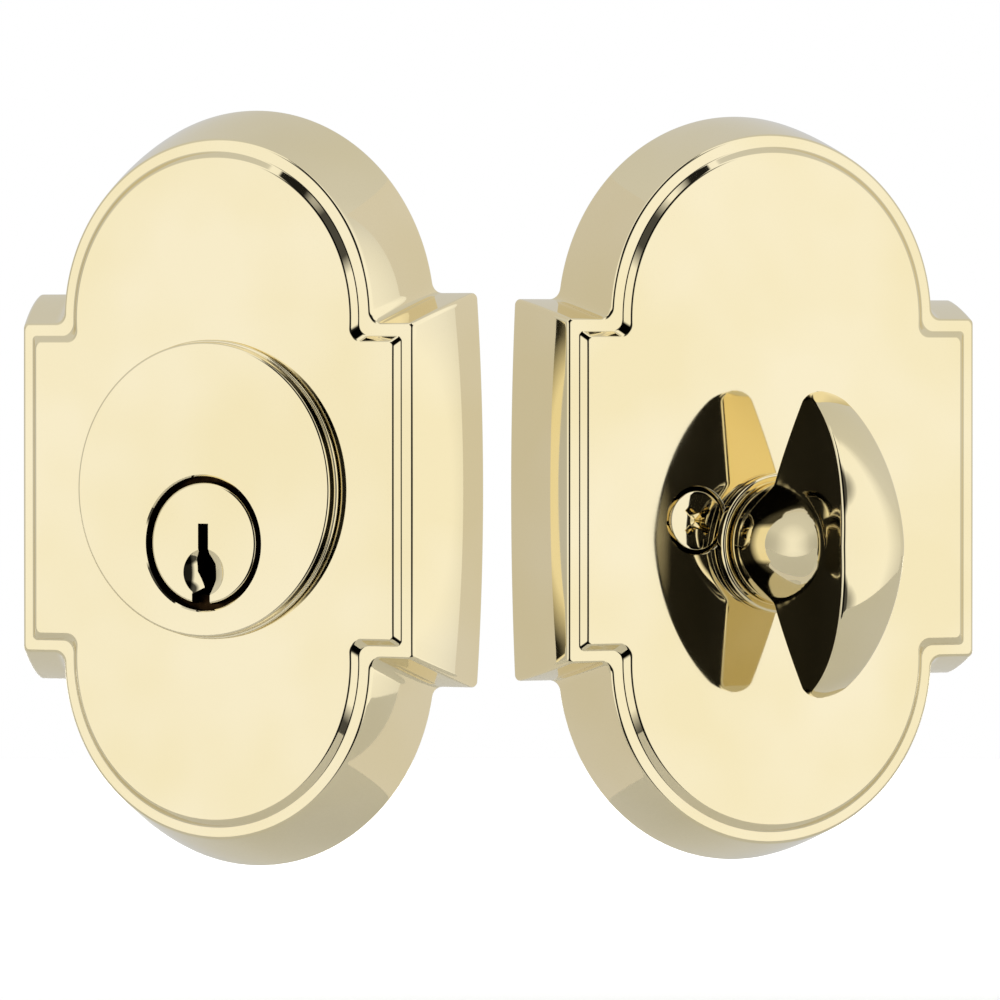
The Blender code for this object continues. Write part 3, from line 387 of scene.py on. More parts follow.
def plate_outline(offset, plate, growth):
    """The trim outline at each offset, as arrays of (x, y): half a side, bowed by a parabola, a corner
    arc, a fillet and a quarter of the arch, mirrored left to right and top to bottom. Every radius and
    half size grows by the offset."""
    bow = plate.bow * np.clip(offset, 0, None)[:, None]
    offset = offset[:, None] + growth
    width, shoulder = plate.half_width + offset, plate.shoulder + offset
    arch, centre = plate.arch_radius + offset, plate.half_height - plate.arch_radius
    corner = plate.corner + 0.05 * np.abs(offset)
    side = np.linspace(0, 1, 13)[:-1] * (shoulder - corner)
    parts = [(width + bow * (1 - (side / (shoulder - corner)) ** 2), side)]
    t = np.linspace(0, QUARTER, 9)
    parts.append((width - corner * (1 - np.cos(t)), shoulder - corner * (1 - np.sin(t))))
    fillet_y = shoulder + plate.fillet
    fillet_x = np.sqrt((arch + plate.fillet) ** 2 - (fillet_y - centre) ** 2)
    lean = np.arctan2(fillet_y - centre, fillet_x)
    t = -np.pi / 2 + (lean - np.pi / 2) * np.linspace(0, 1, 13)
    parts.append((fillet_x + plate.fillet * np.cos(t), fillet_y + plate.fillet * np.sin(t)))
    t = lean + (np.pi / 2 - lean) * np.linspace(0, 1, 57)[1:]
    parts.append((arch * np.cos(t), centre + arch * np.sin(t)))
    x = np.concatenate([part[0] for part in parts], 1)
    y = np.concatenate([part[1] for part in parts], 1)
    x = np.concatenate([x, -x[:, -2:0:-1]], 1)
    y = np.concatenate([y, y[:, -2:0:-1]], 1)
    return np.stack([np.concatenate([x, -x], 1), np.concatenate([y, -y], 1)], -1)


def plate_shell(name, place, plate, growth, flare):
    """The outline carried along a path of (offset, height): up the inside wall, round the rim, up the
    flared flank, over the flat border and the riser, and onto the raised field."""
    field = plate.depth + plate.field_rise
    share = np.linspace(0, 1, 16)[1:-1]
    flank = np.column_stack([flare * (1 - share ** plate.flank_curve), plate.depth * share])
    inner_wall = [(-plate.land - 0.4 * plate.wall, field - plate.wall),
                  (-0.9 * plate.wall, 0.45 * plate.depth)]
    corners = [*inner_wall, (flare - plate.wall, 0), (flare, 0), *flank, (0, plate.depth),
               (-plate.land, plate.depth), (-plate.land - plate.riser, field),
               (-plate.land - 3 * plate.riser, field)]
    radii = [0, 0.15 * MM, 0.4 * MM] + [0] * len(flank) + [0.45 * MM, 0.35 * MM, 0.5 * MM]
    path = rounded(corners, radii)
    outline = plate_outline(path[:, 0], plate, growth)
    height = np.repeat(path[:, 1][:, None, None], outline.shape[1], 1)
    return loft(name, np.concatenate([outline, height], -1), place)


def smooth_larger(a, b, width):
    """The larger of two arrays, rounded by a parabola where they differ by less than width."""
    share = np.clip(0.5 + (a - b) / (2 * width), 0, 1)
    return b + (a - b) * share + width * share * (1 - share)


def wing_surface(name, turn, place):
    """Sections along the wing's length: a rounded slab whose flank is hollowed by a sine, and whose half
    thickness blends into the stem's circle, sqrt(R(z)^2 - y^2), where R shrinks along a cosine up to
    cone_reach. The last nose of each tip is rounded off by a quarter circle. The outer edge is a
    circle's arc in side view, domed across."""
    y = turn.half_length * np.sin(np.linspace(-np.pi / 2, np.pi / 2, 129))[:, None]
    share = np.abs(y) / turn.half_length
    taper = (turn.middle + (turn.tip - turn.middle) * share ** 1.4) / 2
    outer = turn.reach - turn.arc_radius + np.sqrt(turn.arc_radius ** 2 - y ** 2)
    inner = turn.root + (turn.tip_root - turn.root) * share ** 1.3
    crown = np.minimum(turn.crown, (outer - inner) / 4)
    edge = np.minimum(0.45 * MM, (outer - inner) / 6)
    low, high = inner + edge, outer - crown - edge
    side = np.linspace(0, 1, 41)
    height = low + (high - low) * side
    rise = np.clip((height - turn.root) / (turn.cone_reach - turn.root), 0, 1)
    radius = turn.stem_radius * np.cos(rise * np.pi / 2) ** 0.8
    swell = np.sqrt(np.clip(radius ** 2 - y ** 2, 0, None))
    hollow = taper * (1 - turn.scoop * (1 - share ** 2) * np.sin(np.pi * side))
    nose = 1.3 * MM
    ending = np.clip((np.abs(y) - turn.half_length + nose) / nose, 0, 0.98)
    wide = smooth_larger(hollow, swell, turn.blend) * np.sqrt(1 - ending ** 2)
    corner = np.linspace(0, QUARTER, 7)[1:-1]
    across = np.linspace(-1, 1, 25)[1:-1]
    foot_x = wide[:, :1] - edge * (1 - np.cos(corner[::-1]))
    foot_z = low - edge * np.sin(corner[::-1])
    top_x = wide[:, -1:] - edge * (1 - np.cos(corner))
    top_z = high + edge * np.sin(corner)
    crown_x = (wide[:, -1:] - edge) * across[::-1]
    crown_z = outer - crown * across ** 2
    flank_x = np.concatenate([foot_x, wide, top_x], 1)
    flank_z = np.concatenate([foot_z, height, top_z], 1)
    x = np.concatenate([flank_x, crown_x, -flank_x[:, ::-1]], 1)
    z = np.concatenate([flank_z, crown_z, flank_z[:, ::-1]], 1)
    return loft(name, np.stack([x, y + 0 * x, z], -1)[::-1], place)


def threaded_rod(name, profile, thread_low, thread_high, pitch, depth, place, segments=48):
    """A turned profile whose radius, between two heights, drops by depth * the distance to the nearest
    crest, a triangle wave of height / pitch - angle / one turn."""
    rows = int((thread_high - thread_low) / pitch * 8)
    z = np.linspace(thread_high, thread_low, rows)
    above = profile[profile[:, 1] > thread_high]
    below = profile[profile[:, 1] < thread_low]
    crest = np.full(rows, above[-1, 0])
    path = np.concatenate([above, np.column_stack([crest, z]), below])
    path = path[path[:, 0] > 1e-7]
    angle = np.linspace(0, 2 * np.pi, segments, endpoint=False)
    wave = path[:, 1:] / pitch - angle / (2 * np.pi)
    away = 2 * np.abs(wave - np.round(wave))
    inside = (path[:, 1:] <= thread_high) & (path[:, 1:] >= thread_low)
    radius = path[:, :1] - np.where(inside, depth * (1 - away), 0)
    grid = np.stack([radius * np.cos(angle), radius * np.sin(angle),
                     np.repeat(path[:, 1:], segments, 1)], -1)
    return loft(name, grid[::-1], place)


def coil(name, low, high, coil_radius, wire, turns, place, sides=10):
    """A tube of radius wire on the helix (R cos t, R sin t, h(t)); h stays level over the first and
    last half turn, so that both ends lie flat."""
    t = np.linspace(0, 2 * np.pi * turns, int(28 * turns))
    flat = np.pi
    climb = np.clip((t - flat) / (t[-1] - 2 * flat), 0, 1)
    height = low + wire + (high - low - 2 * wire) * climb
    height = height + wire * 0.8 * (np.clip(t / flat, 0, 1) - np.clip((t[-1] - t) / flat, 0, 1))
    out = np.stack([np.cos(t), np.sin(t), 0 * t], -1)
    centre = out * coil_radius + height[:, None] * UP
    around = np.linspace(0, 2 * np.pi, sides, endpoint=False)
    rings = (centre[:, None] + wire * np.cos(around)[:, None] * out[:, None]
             + wire * np.sin(around)[:, None] * UP)
    return loft(name, rings, place)


def node_copy(name, node):
    """A copy of a node's solid with its loose triangles merged, so that its round faces shade evenly."""
    mesh = frame["nodes"][node].data.copy()
    piece = bpy.data.objects.new(name, mesh)
    bpy.context.scene.collection.objects.link(piece)
    weld = piece.modifiers.new("weld", "WELD")
    weld.merge_threshold = 0.000002
    graph = bpy.context.evaluated_depsgraph_get()
    piece.data = bpy.data.meshes.new_from_object(piece.evaluated_get(graph))
    piece.modifiers.clear()
    return piece


# ---------------------------------------------------------------- metals

def linear(hex_colour):
    """sRGB hex to linear RGBA."""
    value = np.array([int(hex_colour[i:i + 2], 16) / 255 for i in (1, 3, 5)])
    value = np.where(value <= 0.04045, value / 12.92, ((value + 0.055) / 1.055) ** 2.4)
    return (*value.tolist(), 1.0)


def add(tree, kind, settings=None, links=None):
    """Add a node, set its inputs or properties by name, and link its inputs from other sockets."""
    node = tree.nodes.new(kind)
    for key, value in (settings or {}).items():
        if key in node.inputs.keys():
            node.inputs[key].default_value = value
        else:
            setattr(node, key, value)
    for key, socket in (links or {}).items():
        tree.links.new(socket, node.inputs[key])
    return node


def start_material(name, settings):
    """A new material, its node tree and its shader, with the shader's sockets set by name."""
    material = bpy.data.materials.new(name)
    material.use_nodes = True
    tree = material.node_tree
    shader = tree.nodes["Principled BSDF"]
    for key, value in settings.items():
        shader.inputs[key].default_value = value
    return material, tree, shader


def two_tone(tree, factor, first, second, low=0.35, high=0.65):
    """A colour that runs from the first to the second as factor goes from low to high."""
    ramp = add(tree, "ShaderNodeValToRGB", links={"Fac": factor})
    ramp.color_ramp.elements[0].position = low
    ramp.color_ramp.elements[0].color = linear(first)
    ramp.color_ramp.elements[1].position = high
    ramp.color_ramp.elements[1].color = linear(second)
    return ramp.outputs["Color"]


def spread(tree, factor, low, high, start=0.0, end=1.0):
    """A value that runs from low to high as factor goes from start to end."""
    ends = {"From Min": start, "From Max": end, "To Min": low, "To Max": high}
    return add(tree, "ShaderNodeMapRange", ends, {"Value": factor}).outputs["Result"]


def drawn_out(tree, where, scale):
    """Coordinates that change slowly along an axis whose scale is small, so a pattern runs along it."""
    return add(tree, "ShaderNodeMapping", {"Scale": scale}, {"Vector": where}).outputs["Vector"]


def noise(tree, coordinates, size, detail=2.0, roughness=0.5):
    """Cloudy noise whose patches are about size metres across."""
    return add(tree, "ShaderNodeTexNoise", {"Scale": 1 / size, "Detail": detail, "Roughness": roughness},
               {"Vector": coordinates}).outputs["Fac"]


def surface_of(tree, shader, pattern, tones, low, high, start=0.0, end=1.0):
    """Let a pattern carry the colour from one tone to the other, and the roughness from low to high."""
    tree.links.new(two_tone(tree, pattern, *tones), shader.inputs["Base Color"])
    tree.links.new(spread(tree, pattern, low, high, start, end), shader.inputs["Roughness"])


def relief(tree, shader, height, strength, distance):
    """Raise the surface by a pattern of the given depth."""
    bump = add(tree, "ShaderNodeBump", {"Strength": strength, "Distance": distance}, {"Height": height})
    tree.links.new(bump.outputs["Normal"], shader.inputs["Normal"])


def bare_metal(name, coat=None):
    """A metal, with a clear coat if one is given, and the coordinates that its patterns read."""
    material, tree, shader = start_material(name, {"Metallic": 1.0, **(coat or {})})
    return material, tree, shader, add(tree, "ShaderNodeTexCoord").outputs["Object"]


def polished_brass(finish):
    """Yellow brass, cast, buffed on a mop and clear lacquered: a mirror with a faint roll left by the
    buffing, hairlines along the buffing direction, and slightly deeper colour in broad patches. Real
    hairlines are about 0.02 mm apart, and they are drawn at 0.35 mm so that they show."""
    lacquer = {"Coat Weight": 0.5, "Coat Roughness": 0.03}
    material, tree, shader, where = bare_metal("Polished lacquered brass", lacquer)
    tone = two_tone(tree, noise(tree, where, 22 * MM), finish.brass_light, finish.brass_deep)
    tree.links.new(tone, shader.inputs["Base Color"])
    haze = noise(tree, where, 9 * MM, 3.0)
    tree.links.new(spread(tree, haze, 0.03, 0.06, 0.35, 0.7), shader.inputs["Roughness"])
    roll = noise(tree, where, 14 * MM, 1.0)
    rolled = add(tree, "ShaderNodeBump", {"Strength": 0.35, "Distance": 0.03 * MM}, {"Height": roll})
    hairlines = noise(tree, drawn_out(tree, where, (1.0, 1.0, 0.06)), 0.35 * MM, 3.0)
    combed = add(tree, "ShaderNodeBump", {"Strength": 0.04, "Distance": 0.002 * MM},
                 {"Height": hairlines, "Normal": rolled.outputs["Normal"]})
    tree.links.new(combed.outputs["Normal"], shader.inputs["Normal"])
    return material


def machined_brass(finish):
    """Free-cutting brass, turned and left bare: a softer shine, and fine tool marks that break up the
    highlight. Real marks are about 0.05 mm apart, and they are drawn at 0.18 mm so that they show."""
    material, tree, shader, where = bare_metal("Turned brass")
    tones = finish.machined_light, finish.machined_deep
    surface_of(tree, shader, noise(tree, where, 3 * MM), tones, 0.22, 0.38)
    relief(tree, shader, noise(tree, where, 0.18 * MM), 0.2, 0.01 * MM)
    return material


def zinc_plated_steel(finish):
    """Steel strip, stamped and bright zinc plated: pale and blue grey, slightly mottled by the plating's
    spangle, with rolling lines that draw the highlight out along the strip."""
    material, tree, shader, where = bare_metal("Zinc plated steel")
    mottle = noise(tree, where, 2.5 * MM, 4.0, 0.6)
    surface_of(tree, shader, mottle, (finish.zinc_light, finish.zinc_deep), 0.26, 0.44, 0.3, 0.7)
    rolling = noise(tree, drawn_out(tree, where, (0.08, 1.0, 1.0)), 0.25 * MM, 3.0)
    relief(tree, shader, rolling, 0.25, 0.01 * MM)
    return material


def blackened_steel(finish):
    """Spring steel, hardened and oil blackened: dark, with a little brown and an oily gloss."""
    material, tree, shader, where = bare_metal("Oil blackened steel", {"Coat Weight": 0.2})
    scale = noise(tree, where, 1.5 * MM, 4.0)
    surface_of(tree, shader, scale, (finish.black_oxide, finish.brown_oxide), 0.3, 0.5)
    relief(tree, shader, scale, 0.2, 0.01 * MM)
    return material


def bore_shade_brass(finish):
    """Brass of the bores and keyway, cut with a reamer and painted near black brown for the shade inside
    them; a noise gives paler and darker patches.
    """
    material, tree, shader, where = bare_metal("Brass with painted bore shade")
    tones = finish.bore_shade_light, finish.bore_shade_deep
    surface_of(tree, shader, noise(tree, where, 1.5 * MM), tones, 0.4, 0.55)
    return material


def drawn_or_turned(name, tones, low, high, size):
    """Small parts off a lathe or through a die: the tool marks carry the tone, the roughness and a
    slight relief, so the highlight breaks into short dashes."""
    material, tree, shader, where = bare_metal(name)
    marks = noise(tree, where, size, 3.0)
    surface_of(tree, shader, marks, tones, low, high)
    relief(tree, shader, marks, 0.2, 0.008 * MM)
    return material


def nickel_silver(finish):
    """Nickel silver, turned: grey with a warm cast, and a bright, tight highlight."""
    tones = finish.nickel_light, finish.nickel_deep
    return drawn_or_turned("Turned nickel silver", tones, 0.18, 0.3, 0.2 * MM)


def spring_bronze(finish):
    """Phosphor bronze, drawn to wire: reddish, and duller than the turned pins."""
    tones = finish.bronze_light, finish.bronze_deep
    return drawn_or_turned("Drawn phosphor bronze", tones, 0.25, 0.4, 0.15 * MM)


# The bore entry is painted shade: a near black brass for the insides of the bores and keyway.
MAKERS = {"bore_shade": bore_shade_brass, "polished_brass": polished_brass, "cast_brass": machined_brass,
          "zinc_plated_steel": zinc_plated_steel, "hardened_steel": blackened_steel,
          "nickel_silver": nickel_silver, "spring_bronze": spring_bronze}
FINISHED = {}


def metal(slot):
    """The material of a record slot, or the near black brass that paints shade into the bores and keyway,
    made once.
    """
    if slot not in FINISHED:
        FINISHED[slot] = MAKERS[slot](bpy.context.scene.lock_finish)
    return FINISHED[slot]


def slot_of(node):
    """The record's material slot of a node."""
    return next(s["material_slot"] for s in frame["record"]["subparts"] if s["node"] == node)


def body_of(node):
    """The moving body, or the root, that carries a node."""
    return next(body for body, nodes in frame["record"]["behaviour"]["bodies"].items() if node in nodes)


def sizes(context, *names):
    """The named property groups of the scene."""
    return [getattr(context.scene, f"lock_{name}") for name in names]


def settle(piece, node, sharp=32.0):
    """Let a finished piece take its node's place, body and metal."""
    return place_piece(piece, metal(slot_of(node)), body_of(node), [node], sharp)


def paint_bore_shade(piece, place, radius, top):
    """Paint shade on the walls within radius of the place's z axis and under top, by giving them the near
    black bore material: the faces that run along the axis, and every face more than 1 mm down."""
    mesh = piece.data
    centres, normals = np.empty(3 * len(mesh.polygons)), np.empty(3 * len(mesh.polygons))
    mesh.polygons.foreach_get("center", centres)
    mesh.polygons.foreach_get("normal", normals)
    local = (centres.reshape(-1, 3) - place.origin) @ place.axes.T
    steep = np.abs(normals.reshape(-1, 3) @ place.axes[2]) < 0.35
    near = (np.hypot(local[:, 0], local[:, 1]) < radius) & (local[:, 2] < top)
    mesh.materials.append(metal("bore_shade"))
    # Painted shade: steep walls and every face more than 1 mm down get the near black material.
    dark = near & (steep | (local[:, 2] < top - MM))
    mesh.polygons.foreach_set("material_index", dark.astype(np.int32))


# ---------------------------------------------------------------- operators

class LOCK_OT_escutcheons(bpy.types.Operator):
    """Build both trim plates"""
    bl_idname = "lock.escutcheons"
    bl_label = "Trim plates"

    def execute(self, context):
        plate, cylinder, turn, screws = sizes(context, "plate", "cylinder", "turn", "screws")
        field = plate.depth + plate.field_rise
        above = field + CUT_PAST
        outside = plate_shell("outside_plate_surface", OUTSIDE, plate, 0, plate.flare)
        neck = cylinder.neck_radius + FIT
        hole = drill("neck_hole", [(neck, above), (neck, 0)], OUTSIDE)
        settle(combine(outside, [hole]), "outside_escutcheon")
        unit = inside_place(plate)
        inside = plate_shell("inside_plate_surface", unit, plate, plate.inside_growth, plate.inside_flare)
        axis = unit.moved(y=-cylinder.axis_drop)
        shaft = turn.shaft_radius + FIT
        holes = [drill("shaft_hole", [(shaft, above), (shaft, 0)], axis)]
        rim, clear = screws.head_radius + 0.5 * MM, screws.shank_radius + FIT
        seat = field - 0.35 * MM
        bevel, slope_end = 0.25 * MM, seat - screws.head_height + 0.2 * MM
        steps = [(0, above), (rim + bevel, above), (rim + bevel, field + bevel), (rim, field - 0.05 * MM),
                 (rim, seat), (clear, slope_end), (clear, 0), (0, 0)]
        sink = rounded(steps, [0, 0, 0, 0.1 * MM, 0, 0], 3)
        for side, label in HANDS:
            at = unit.moved(x=side * screws.spacing, y=-screws.drop)
            holes.append(turned(f"countersink_{label}", sink, at, 64))
        settle(combine(inside, holes), "inside_escutcheon")
        return {"FINISHED"}


class LOCK_OT_cylinder(bpy.types.Operator):
    """Build the collar and cylinder housing"""
    bl_idname = "lock.cylinder"
    bl_label = "Collar and housing"

    def execute(self, context):
        plate, cylinder, screws = sizes(context, "plate", "cylinder", "screws")
        field = plate.depth + plate.field_rise
        seat, back, front = field + FIT, field - plate.wall, field + cylinder.collar_proud
        step = seat + cylinder.base_height
        rear = -cylinder.body_depth
        fine, soft = 0.15 * MM, 0.35 * MM
        corners = [(0, front), (cylinder.collar_radius, front), (cylinder.collar_radius, step),
                   (cylinder.base_radius, step), (cylinder.base_radius, seat), (cylinder.neck_radius, seat),
                   (cylinder.neck_radius, back), (cylinder.body_radius, back),
                   (cylinder.body_radius, rear), (0, rear)]
        radii = [soft, fine, soft, fine, 0, 0, 0, 0.3 * MM]
        housing = turned("cylinder_housing_surface", rounded(corners, radii), OUTSIDE, 160)
        axis = OUTSIDE.moved(y=-cylinder.axis_drop)
        bore = cylinder.plug_radius + FIT
        wide = cylinder.face_radius + cylinder.face_clearance
        plug_step = front - cylinder.face_recess - cylinder.face_thickness - FIT
        bevel = 0.2 * MM
        steps = [(wide + bevel, front + CUT_PAST), (wide + bevel, front + 0.02 * MM), (wide, front - bevel),
                 (wide, plug_step), (bore, plug_step), (bore, rear - MM)]
        cuts = [drill("plug_bore", steps, axis, 128)]
        above = 20 * MM
        for i in PINS:
            at = stack_place(f"driver_pin_{i}")[2]
            walls = [(CHAMBER_RADIUS, above), (CHAMBER_RADIUS, -cylinder.axis_drop)]
            cuts.append(drill(f"chamber_{i}", walls, at, 32))
        low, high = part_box("chamber_cap")
        cap = Place((0, (low[1] + high[1]) / 2, 0), *OUTSIDE.axes).along_up()
        outline = rectangle(high[0] + FIT, (high[1] - low[1]) / 2 + FIT)
        cuts.append(slab("cap_slot", outline, low[2] - FIT, above, cap))
        for side, label in HANDS:
            at = OUTSIDE.moved(x=side * screws.spacing, y=-screws.drop)
            walls = [(screws.shank_radius, rear + 12 * MM), (screws.shank_radius, rear - MM)]
            cuts.append(drill(f"tapped_{label}", walls, at, 32))
        piece = settle(combine(housing, cuts), "cylinder_housing")
        # Paint shade on the walls of the plug's bore with near black brass.
        paint_bore_shade(piece, axis, wide + 0.05 * MM, front - bevel)
        return {"FINISHED"}


class LOCK_OT_plug(bpy.types.Operator):
    """Build the plug with its warded keyway and scooped key guide"""
    bl_idname = "lock.plug"
    bl_label = "Plug"

    def execute(self, context):
        plate, cylinder = sizes(context, "plate", "cylinder")
        front = plate.depth + plate.field_rise + cylinder.collar_proud - cylinder.face_recess
        step = front - cylinder.face_thickness
        rear = -cylinder.plug_rear
        axis = OUTSIDE.moved(y=-cylinder.axis_drop)
        profile = rounded([(0, front), (cylinder.face_radius, front), (cylinder.face_radius, step),
                           (cylinder.plug_radius, step), (cylinder.plug_radius, rear), (0, rear)],
                          [0.45 * MM, 0.1 * MM, 0.1 * MM, 0.2 * MM])
        plug = turned("plug_surface", profile, axis, 128)
        depth = cylinder.dimple_depth
        ball = (cylinder.dimple_radius ** 2 + depth ** 2) / (2 * depth)
        angle = np.linspace(0, np.pi, 49)
        scoop = np.column_stack([ball * np.sin(angle), front + ball - depth + ball * np.cos(angle)])
        scoop[[0, -1], 0] = 0
        guide = turned("key_guide", scoop, axis.moved(y=-cylinder.dimple_drop), 96)
        keyway = slab("keyway", keyway_outline(cylinder), rear + 2.5 * MM, front + MM, axis)
        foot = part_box("key_pin_4")[0][2] - CHAMBER_RADIUS
        walls = [(CHAMBER_RADIUS, MM), (CHAMBER_RADIUS, foot)]
        chambers = [drill(f"plug_chamber_{i}", walls, stack_place(f"key_pin_{i}")[2], 32) for i in PINS]
        piece = settle(combine(plug, [guide, keyway] + chambers), "key_plug")
        # Paint shade in the keyway and on the plug's deeper faces with near black brass.
        paint_bore_shade(piece, axis, cylinder.face_radius + 0.1 * MM, front - 0.2 * MM)
        return {"FINISHED"}


def keyway_outline(cylinder):
    """The warded slot, in millimetres from the plug's centre: a wide foot, a waist that leans to the
    right, steps to both sides and a narrow upper leg."""
    low = -cylinder.face_radius / MM - 1
    right = [(1.0, low), (1.0, -6.4), (1.58, -4.6), (1.5, -2.6), (0.75, -1.3), (0.75, 2.5)]
    left = [(-0.75, 2.5), (-0.75, -1.0), (-1.25, -2.0), (-1.25, -3.6), (-0.1, -5.6), (-1.65, -6.4),
            (-1.65, low)]
    return np.array(right + left) * MM


class LOCK_OT_pins(bpy.types.Operator):
    """Build the pin stacks and their springs"""
    bl_idname = "lock.pins"
    bl_label = "Pins and springs"

    def execute(self, context):
        wire = 0.17 * MM
        for i in PINS:
            for kind, nose in (("driver_pin", 0.25 * MM), ("key_pin", 0.6 * MM)):
                low, high, at = stack_place(f"{kind}_{i}")
                radius = (high[0] - low[0]) / 2
                corners = [(0, high[2]), (radius, high[2]), (radius, low[2] + nose),
                           (radius - nose, low[2]), (0, low[2])]
                profile = rounded(corners, [0.15 * MM, 0.2 * MM, 0.1 * MM])
                settle(turned(f"{kind}_surface_{i}", profile, at, 40), f"{kind}_{i}")
            low, high, at = stack_place(f"pin_spring_{i}")
            radius = (high[0] - low[0]) / 2 - wire
            spring = coil(f"pin_spring_surface_{i}", low[2], high[2], radius, wire, 7, at)
            settle(spring, f"pin_spring_{i}", 60)
        return {"FINISHED"}


class LOCK_OT_thumb_turn(bpy.types.Operator):
    """Build the thumb-turn"""
    bl_idname = "lock.thumb_turn"
    bl_label = "Thumb-turn"

    def execute(self, context):
        plate, cylinder, turn = sizes(context, "plate", "cylinder", "turn")
        axis = inside_place(plate).moved(y=-cylinder.axis_drop)
        field = plate.depth + plate.field_rise
        seat = field + FIT
        flange = seat + turn.flange_height
        groove = flange + 0.6 * MM
        waist = turn.stem_radius - 1.2 * MM
        ring_top = field - plate.wall - 1.1 * MM + FIT
        ring_low = ring_top - 1.7 * MM
        slim = turn.shaft_radius - 0.9 * MM
        head = turn.root + 4 * MM
        corners = [(0, head), (waist, head), (turn.stem_radius, turn.root + 0.3 * MM),
                   (turn.stem_radius, groove), (waist, groove), (waist, flange),
                   (turn.flange_radius, flange), (turn.flange_radius, seat), (turn.shaft_radius, seat),
                   (turn.shaft_radius, ring_top), (slim, ring_top), (slim, ring_low),
                   (turn.shaft_radius, ring_low), (turn.shaft_radius, turn.shaft_rear), (0, turn.shaft_rear)]
        radii = np.array([0.3, 0.8, 0.3, 0.1, 0.1, 0.45, 0.1, 0, 0, 0, 0, 0, 0.3]) * MM
        stem = turned("stem", rounded(corners, radii), axis, 128)
        wing = combine(wing_surface("thumb_turn_surface", turn, axis), [stem], "UNION")
        outline = rectangle(3.35 * MM, 1.35 * MM)
        socket = slab("socket", outline, turn.shaft_rear - MM, turn.shaft_rear + 7 * MM, axis)
        settle(combine(wing, [socket]), "thumb_turn", 40)
        return {"FINISHED"}


class LOCK_OT_through_bolts(bpy.types.Operator):
    """Build the two threaded through-bolts"""
    bl_idname = "lock.through_bolts"
    bl_label = "Through-bolts"

    def execute(self, context):
        plate, screws = sizes(context, "plate", "screws")
        top = plate.depth + plate.field_rise - 0.1 * MM
        tip = -screws.reach
        above, point = top + 0.5 * MM, 0.8 * MM
        share = np.linspace(0, 1, 9)[:-1]
        dome = zip(screws.head_radius * share, top + 0.35 * MM * (1 - share ** 2))
        corners = [*dome, (screws.head_radius, top), (screws.shank_radius, top - screws.head_height),
                   (screws.shank_radius, tip + point), (screws.shank_radius - point, tip), (0, tip)]
        profile = rounded(corners, [0] * 7 + [0.12 * MM, 0, 0, 0])
        for side, label in HANDS:
            at = inside_place(plate).moved(x=side * screws.spacing, y=-screws.drop)
            bolt = threaded_rod(f"through_bolt_surface_{label}", profile, tip + 0.9 * MM, top - 10 * MM,
                                screws.pitch, 0.4 * MM, at)
            blade = rectangle(2.3 * MM, 0.5 * MM)
            recess = [slab(f"recess_{k}", blade, top - 1.5 * MM, above, at.spun((k + 0.5) * QUARTER), 0.62)
                      for k in range(2)]
            recess.append(drill("recess_core", [(1.15 * MM, above), (0.6 * MM, top - 1.7 * MM)], at, 24))
            settle(combine(bolt, recess), f"through_bolt_{label}", 38)
        return {"FINISHED"}


class LOCK_OT_bolt_unit(bpy.types.Operator):
    """Build the sliding bolt and finish the case, crank and face ring round it"""
    bl_idname = "lock.bolt_unit"
    bl_label = "Bolt unit"

    def execute(self, context):
        low, high = (np.array(corner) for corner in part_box("bolt"))
        middle = (low + high) / 2
        at = Place((0, middle[1], middle[2]), *OUTSIDE.axes).along_left()
        half_z, half_y = (high[2] - low[2]) / 2, (high[1] - low[1]) / 2
        corner = 2.2 * MM
        t = np.linspace(0, QUARTER, 9)
        x = half_z - corner * (1 - np.cos(t))
        y = half_y - corner * (1 - np.sin(t))
        outline = np.concatenate([np.stack([x, y], -1), np.stack([-x, y], -1)[::-1],
                                  np.stack([-x, -y], -1), np.stack([x, -y], -1)[::-1]])
        nose = np.linspace(0, QUARTER, 7)
        edge = 0.8 * MM
        inset = np.concatenate([[edge * 0.4, 0], edge * (1 - np.cos(nose))])
        height = np.concatenate([[-high[0], -high[0] + edge * 0.4], -low[0] - edge + edge * np.sin(nose)])
        shrink = 1 - inset[:, None] / np.array([half_z, half_y])
        rings = np.concatenate([outline[None] * shrink[:, None],
                                np.repeat(height[:, None, None], len(outline), 1)], -1)
        settle(loft("bolt_surface", rings, at), "bolt")
        for node in ("bolt_face_ring", "bolt_case_tube", "bolt_tail", "crank", "crank_pin", "tailpiece",
                     "case_plate_outer", "case_plate_inner", "case_rivet_1", "case_rivet_2"):
            piece = node_copy(f"{node}_surface", node)
            edge = piece.modifiers.new("broken edges", "BEVEL")
            edge.width = 0.08 * MM
            edge.segments = 2
            edge.limit_method = "ANGLE"
            edge.angle_limit = np.radians(40)
            settle(piece, node)
        return {"FINISHED"}


class LOCK_OT_small_parts(bpy.types.Operator):
    """Finish the rings, washer and caps"""
    bl_idname = "lock.small_parts"
    bl_label = "Rings and caps"

    def execute(self, context):
        for node in ("outside_bore_ring", "inside_bore_ring", "chamber_cap", "plug_cap", "turn_washer",
                     "retaining_ring"):
            settle(node_copy(f"{node}_surface", node), node)
        return {"FINISHED"}


class LOCK_OT_stage(bpy.types.Operator):
    """Set up the floor, the soft light and the camera"""
    bl_idname = "lock.stage"
    bl_label = "Stage"

    def execute(self, context):
        light = context.scene.lock_light
        side = Vector((np.cos(light.azimuth), np.sin(light.azimuth), 0))
        front = Vector((np.sin(light.azimuth), -np.cos(light.azimuth), 0))
        make_floor(side, front, CAD_BOX[0][2] - light.floor_drop, context.scene.lock_finish)
        make_cards(side, front, light.aim_side)
        make_world(context.scene, side, front)
        make_lights(side, front, light.soft_box)
        make_camera(context.scene, side, front)
        context.scene.view_settings.view_transform = "Standard"
        return {"FINISHED"}


